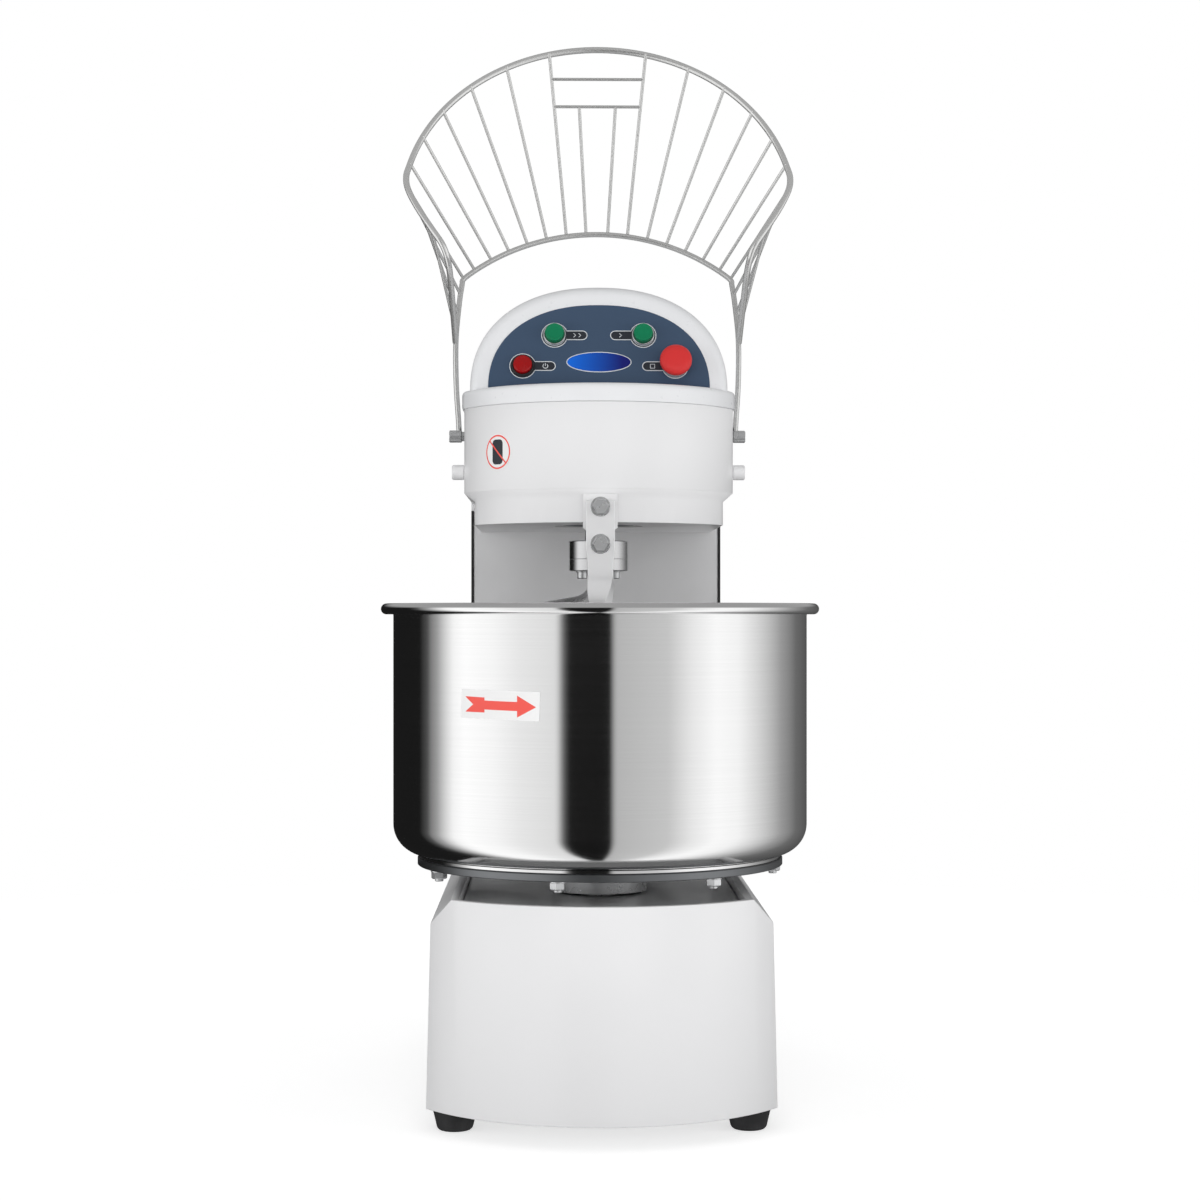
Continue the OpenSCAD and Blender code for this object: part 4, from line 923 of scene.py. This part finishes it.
make_cover()
make_prints()
make_controls()
make_labels()
make_bowl()
make_spiral()
make_bar()
make_guard()
for node, width in {
    "base_shell": 2.5, "base_top_plate": 1.2, "column_shell": 1.6, "column_front_panel": 0.6,
    "rear_cover": 0.7, "head_lower_box": 1.4, "head_box": 1.4, "bar_bracket": 1.2, "rubber_feet": 1.5,
    "column_edge_trims": 0.6, "cable_gland": 0.5,
}.items():
    soften(node, width)


# Studio -----------------------------------------------------------------------------------


def make_floor():
    """Pale disc under the machine that fades out at its edge."""
    m = Material("studio_floor", (0.6, 0.6, 0.6), 0.85)
    m.shade(m.noise(0.8, 2), 0.99, 1.0)
    light = m.node("ShaderNodeEmission", Color=(1, 1, 1, 1), Strength=0.62)
    seen = m.node("ShaderNodeLightPath").outputs["Is Camera Ray"]
    glow = m.node("ShaderNodeMixShader", [(0, seen), (2, light.outputs[0])])
    both = m.node("ShaderNodeAddShader", [(0, m.shader.outputs[0]), (1, glow.outputs[0])])
    away = m.node("ShaderNodeVectorMath", [(0, m.place)], operation="LENGTH").outputs["Value"]
    fade = m.spread(away, 0, 1, 1.2, 2.3)
    clear = m.node("ShaderNodeBsdfTransparent")
    whole = m.node("ShaderNodeMixShader", [(0, fade), (1, both.outputs[0]), (2, clear.outputs[0])])
    m.links.new(whole.outputs[0], m.nodes["Material Output"].inputs["Surface"])
    mesh = bpy.data.meshes.new("floor")
    radius = 2.4
    turns = [math.radians(3 * k) for k in range(120)]
    points = [(radius * math.cos(w), radius * math.sin(w), 0) for w in turns]
    mesh.from_pydata(points, [], [tuple(range(120))])
    mesh.materials.append(m.mat)
    floor = bpy.data.objects.new("floor", mesh)
    floor.visible_glossy = False
    scene.collection.objects.link(floor)


def area_light(name, place, aim, size, watts, color=(1, 1, 1), mirrored=True):
    data = bpy.data.lights.new(name, "AREA")
    data.shape = "RECTANGLE"
    data.size, data.size_y = size
    data.energy = watts
    data.color = color
    light = bpy.data.objects.new(name, data)
    light.location = place
    light.rotation_euler = (Vector(aim) - Vector(place)).to_track_quat("-Z", "Y").to_euler()
    light.visible_glossy = mirrored
    scene.collection.objects.link(light)
    return light


# Brightness of the studio all round: degrees from the camera's side, towards the right. The pairs
# were worked out from the shading of the photographed bowl, by the angle that it reflects.
PANELS = (
    (-180, 0.012), (-118, 0.012), (-110, 0.1), (-107, 0.26), (-101, 0.46), (-95, 0.84), (-88, 1.25),
    (-80, 1.38), (-61, 1.28), (-45, 1.1), (-24.5, 0.98), (-20.5, 0.14), (-17.5, 0.012), (4.5, 0.01),
    (7.5, 0.63), (36, 0.76), (50, 1.1), (65, 1.32), (80, 1.24), (101, 0.78), (117, 0.43), (137, 0.18),
    (151, 0.13), (180, 0.05),
)
BRIGHTEST = 1.4


def make_lights():
    """Softboxes on both sides with a dark gap at the camera, and a white sheet behind and above."""
    world = bpy.data.worlds.new("studio")
    scene.world = world
    world.use_nodes = True
    nodes, links = world.node_tree.nodes, world.node_tree.links

    def node(kind, links_in=(), **values):
        made = nodes.new(kind)
        for key, value in values.items():
            if key in made.inputs:
                made.inputs[key].default_value = value
            else:
                setattr(made, key, value)
        for key, source in links_in:
            links.new(source, made.inputs[key])
        return made

    way = node("ShaderNodeTexCoord").outputs["Generated"]
    split = node("ShaderNodeSeparateXYZ", [("Vector", way)])
    ahead = node("ShaderNodeMath", [(0, split.outputs["Y"])], operation="MULTIPLY")
    ahead.inputs[1].default_value = -1
    angle = node("ShaderNodeMath", [(0, split.outputs["X"]), (1, ahead.outputs[0])], operation="ARCTAN2")
    turn = node("ShaderNodeMapRange", [("Value", angle.outputs[0])])
    turn.inputs["From Min"].default_value, turn.inputs["From Max"].default_value = -math.pi, math.pi
    ramp = node("ShaderNodeValToRGB", [("Fac", turn.outputs["Result"])])
    marks = ramp.color_ramp.elements
    while len(marks) < len(PANELS):
        marks.new(0.5)
    for mark, (degrees, level) in zip(marks, PANELS):
        mark.position = (degrees + 180) / 360
        mark.color = (level / BRIGHTEST, level / BRIGHTEST, level / BRIGHTEST, 1)
    up = node("ShaderNodeMapRange", [("Value", split.outputs["Z"])], interpolation_type="SMOOTHSTEP")
    for key, number in zip(("From Min", "From Max"), (0.1, 0.32)):
        up.inputs[key].default_value = number
    sky = node("ShaderNodeMix", [(0, up.outputs["Result"]), (6, ramp.outputs["Color"])], data_type="RGBA")
    sky.inputs[7].default_value = (0.3, 0.3, 0.3, 1)
    studio = node("ShaderNodeBackground", [("Color", sky.outputs[2])], Strength=BRIGHTEST)
    white = node("ShaderNodeBackground", Color=(1, 1, 1, 1), Strength=1.0)
    seen = node("ShaderNodeLightPath").outputs["Is Camera Ray"]
    both = node("ShaderNodeMixShader", [(0, seen), (1, studio.outputs[0]), (2, white.outputs[0])])
    links.new(both.outputs[0], nodes["World Output"].inputs["Surface"])
    scene.view_settings.view_transform = "Standard"
    area_light("front_fill", (0, -3.3, 0.75), (0, 0, 0.55), (3.4, 1.4), 48, mirrored=False)
    area_light("top_fill", (0, -0.6, 3.2), (0, 0, 0.5), (3.0, 3.0), 4, mirrored=False)
    area_light("back_fill", (0, 3.4, 1.1), (0, 0, 0.6), (3.0, 1.6), 46, mirrored=False)
    for side in (-1, 1):
        place = (side * 2.8, -1.5, 0.8)
        area_light(f"side_fill_{side + 2}", place, (0, 0, 0.6), (1.4, 1.6), 14, mirrored=False)


make_camera()
make_floor()
make_lights()
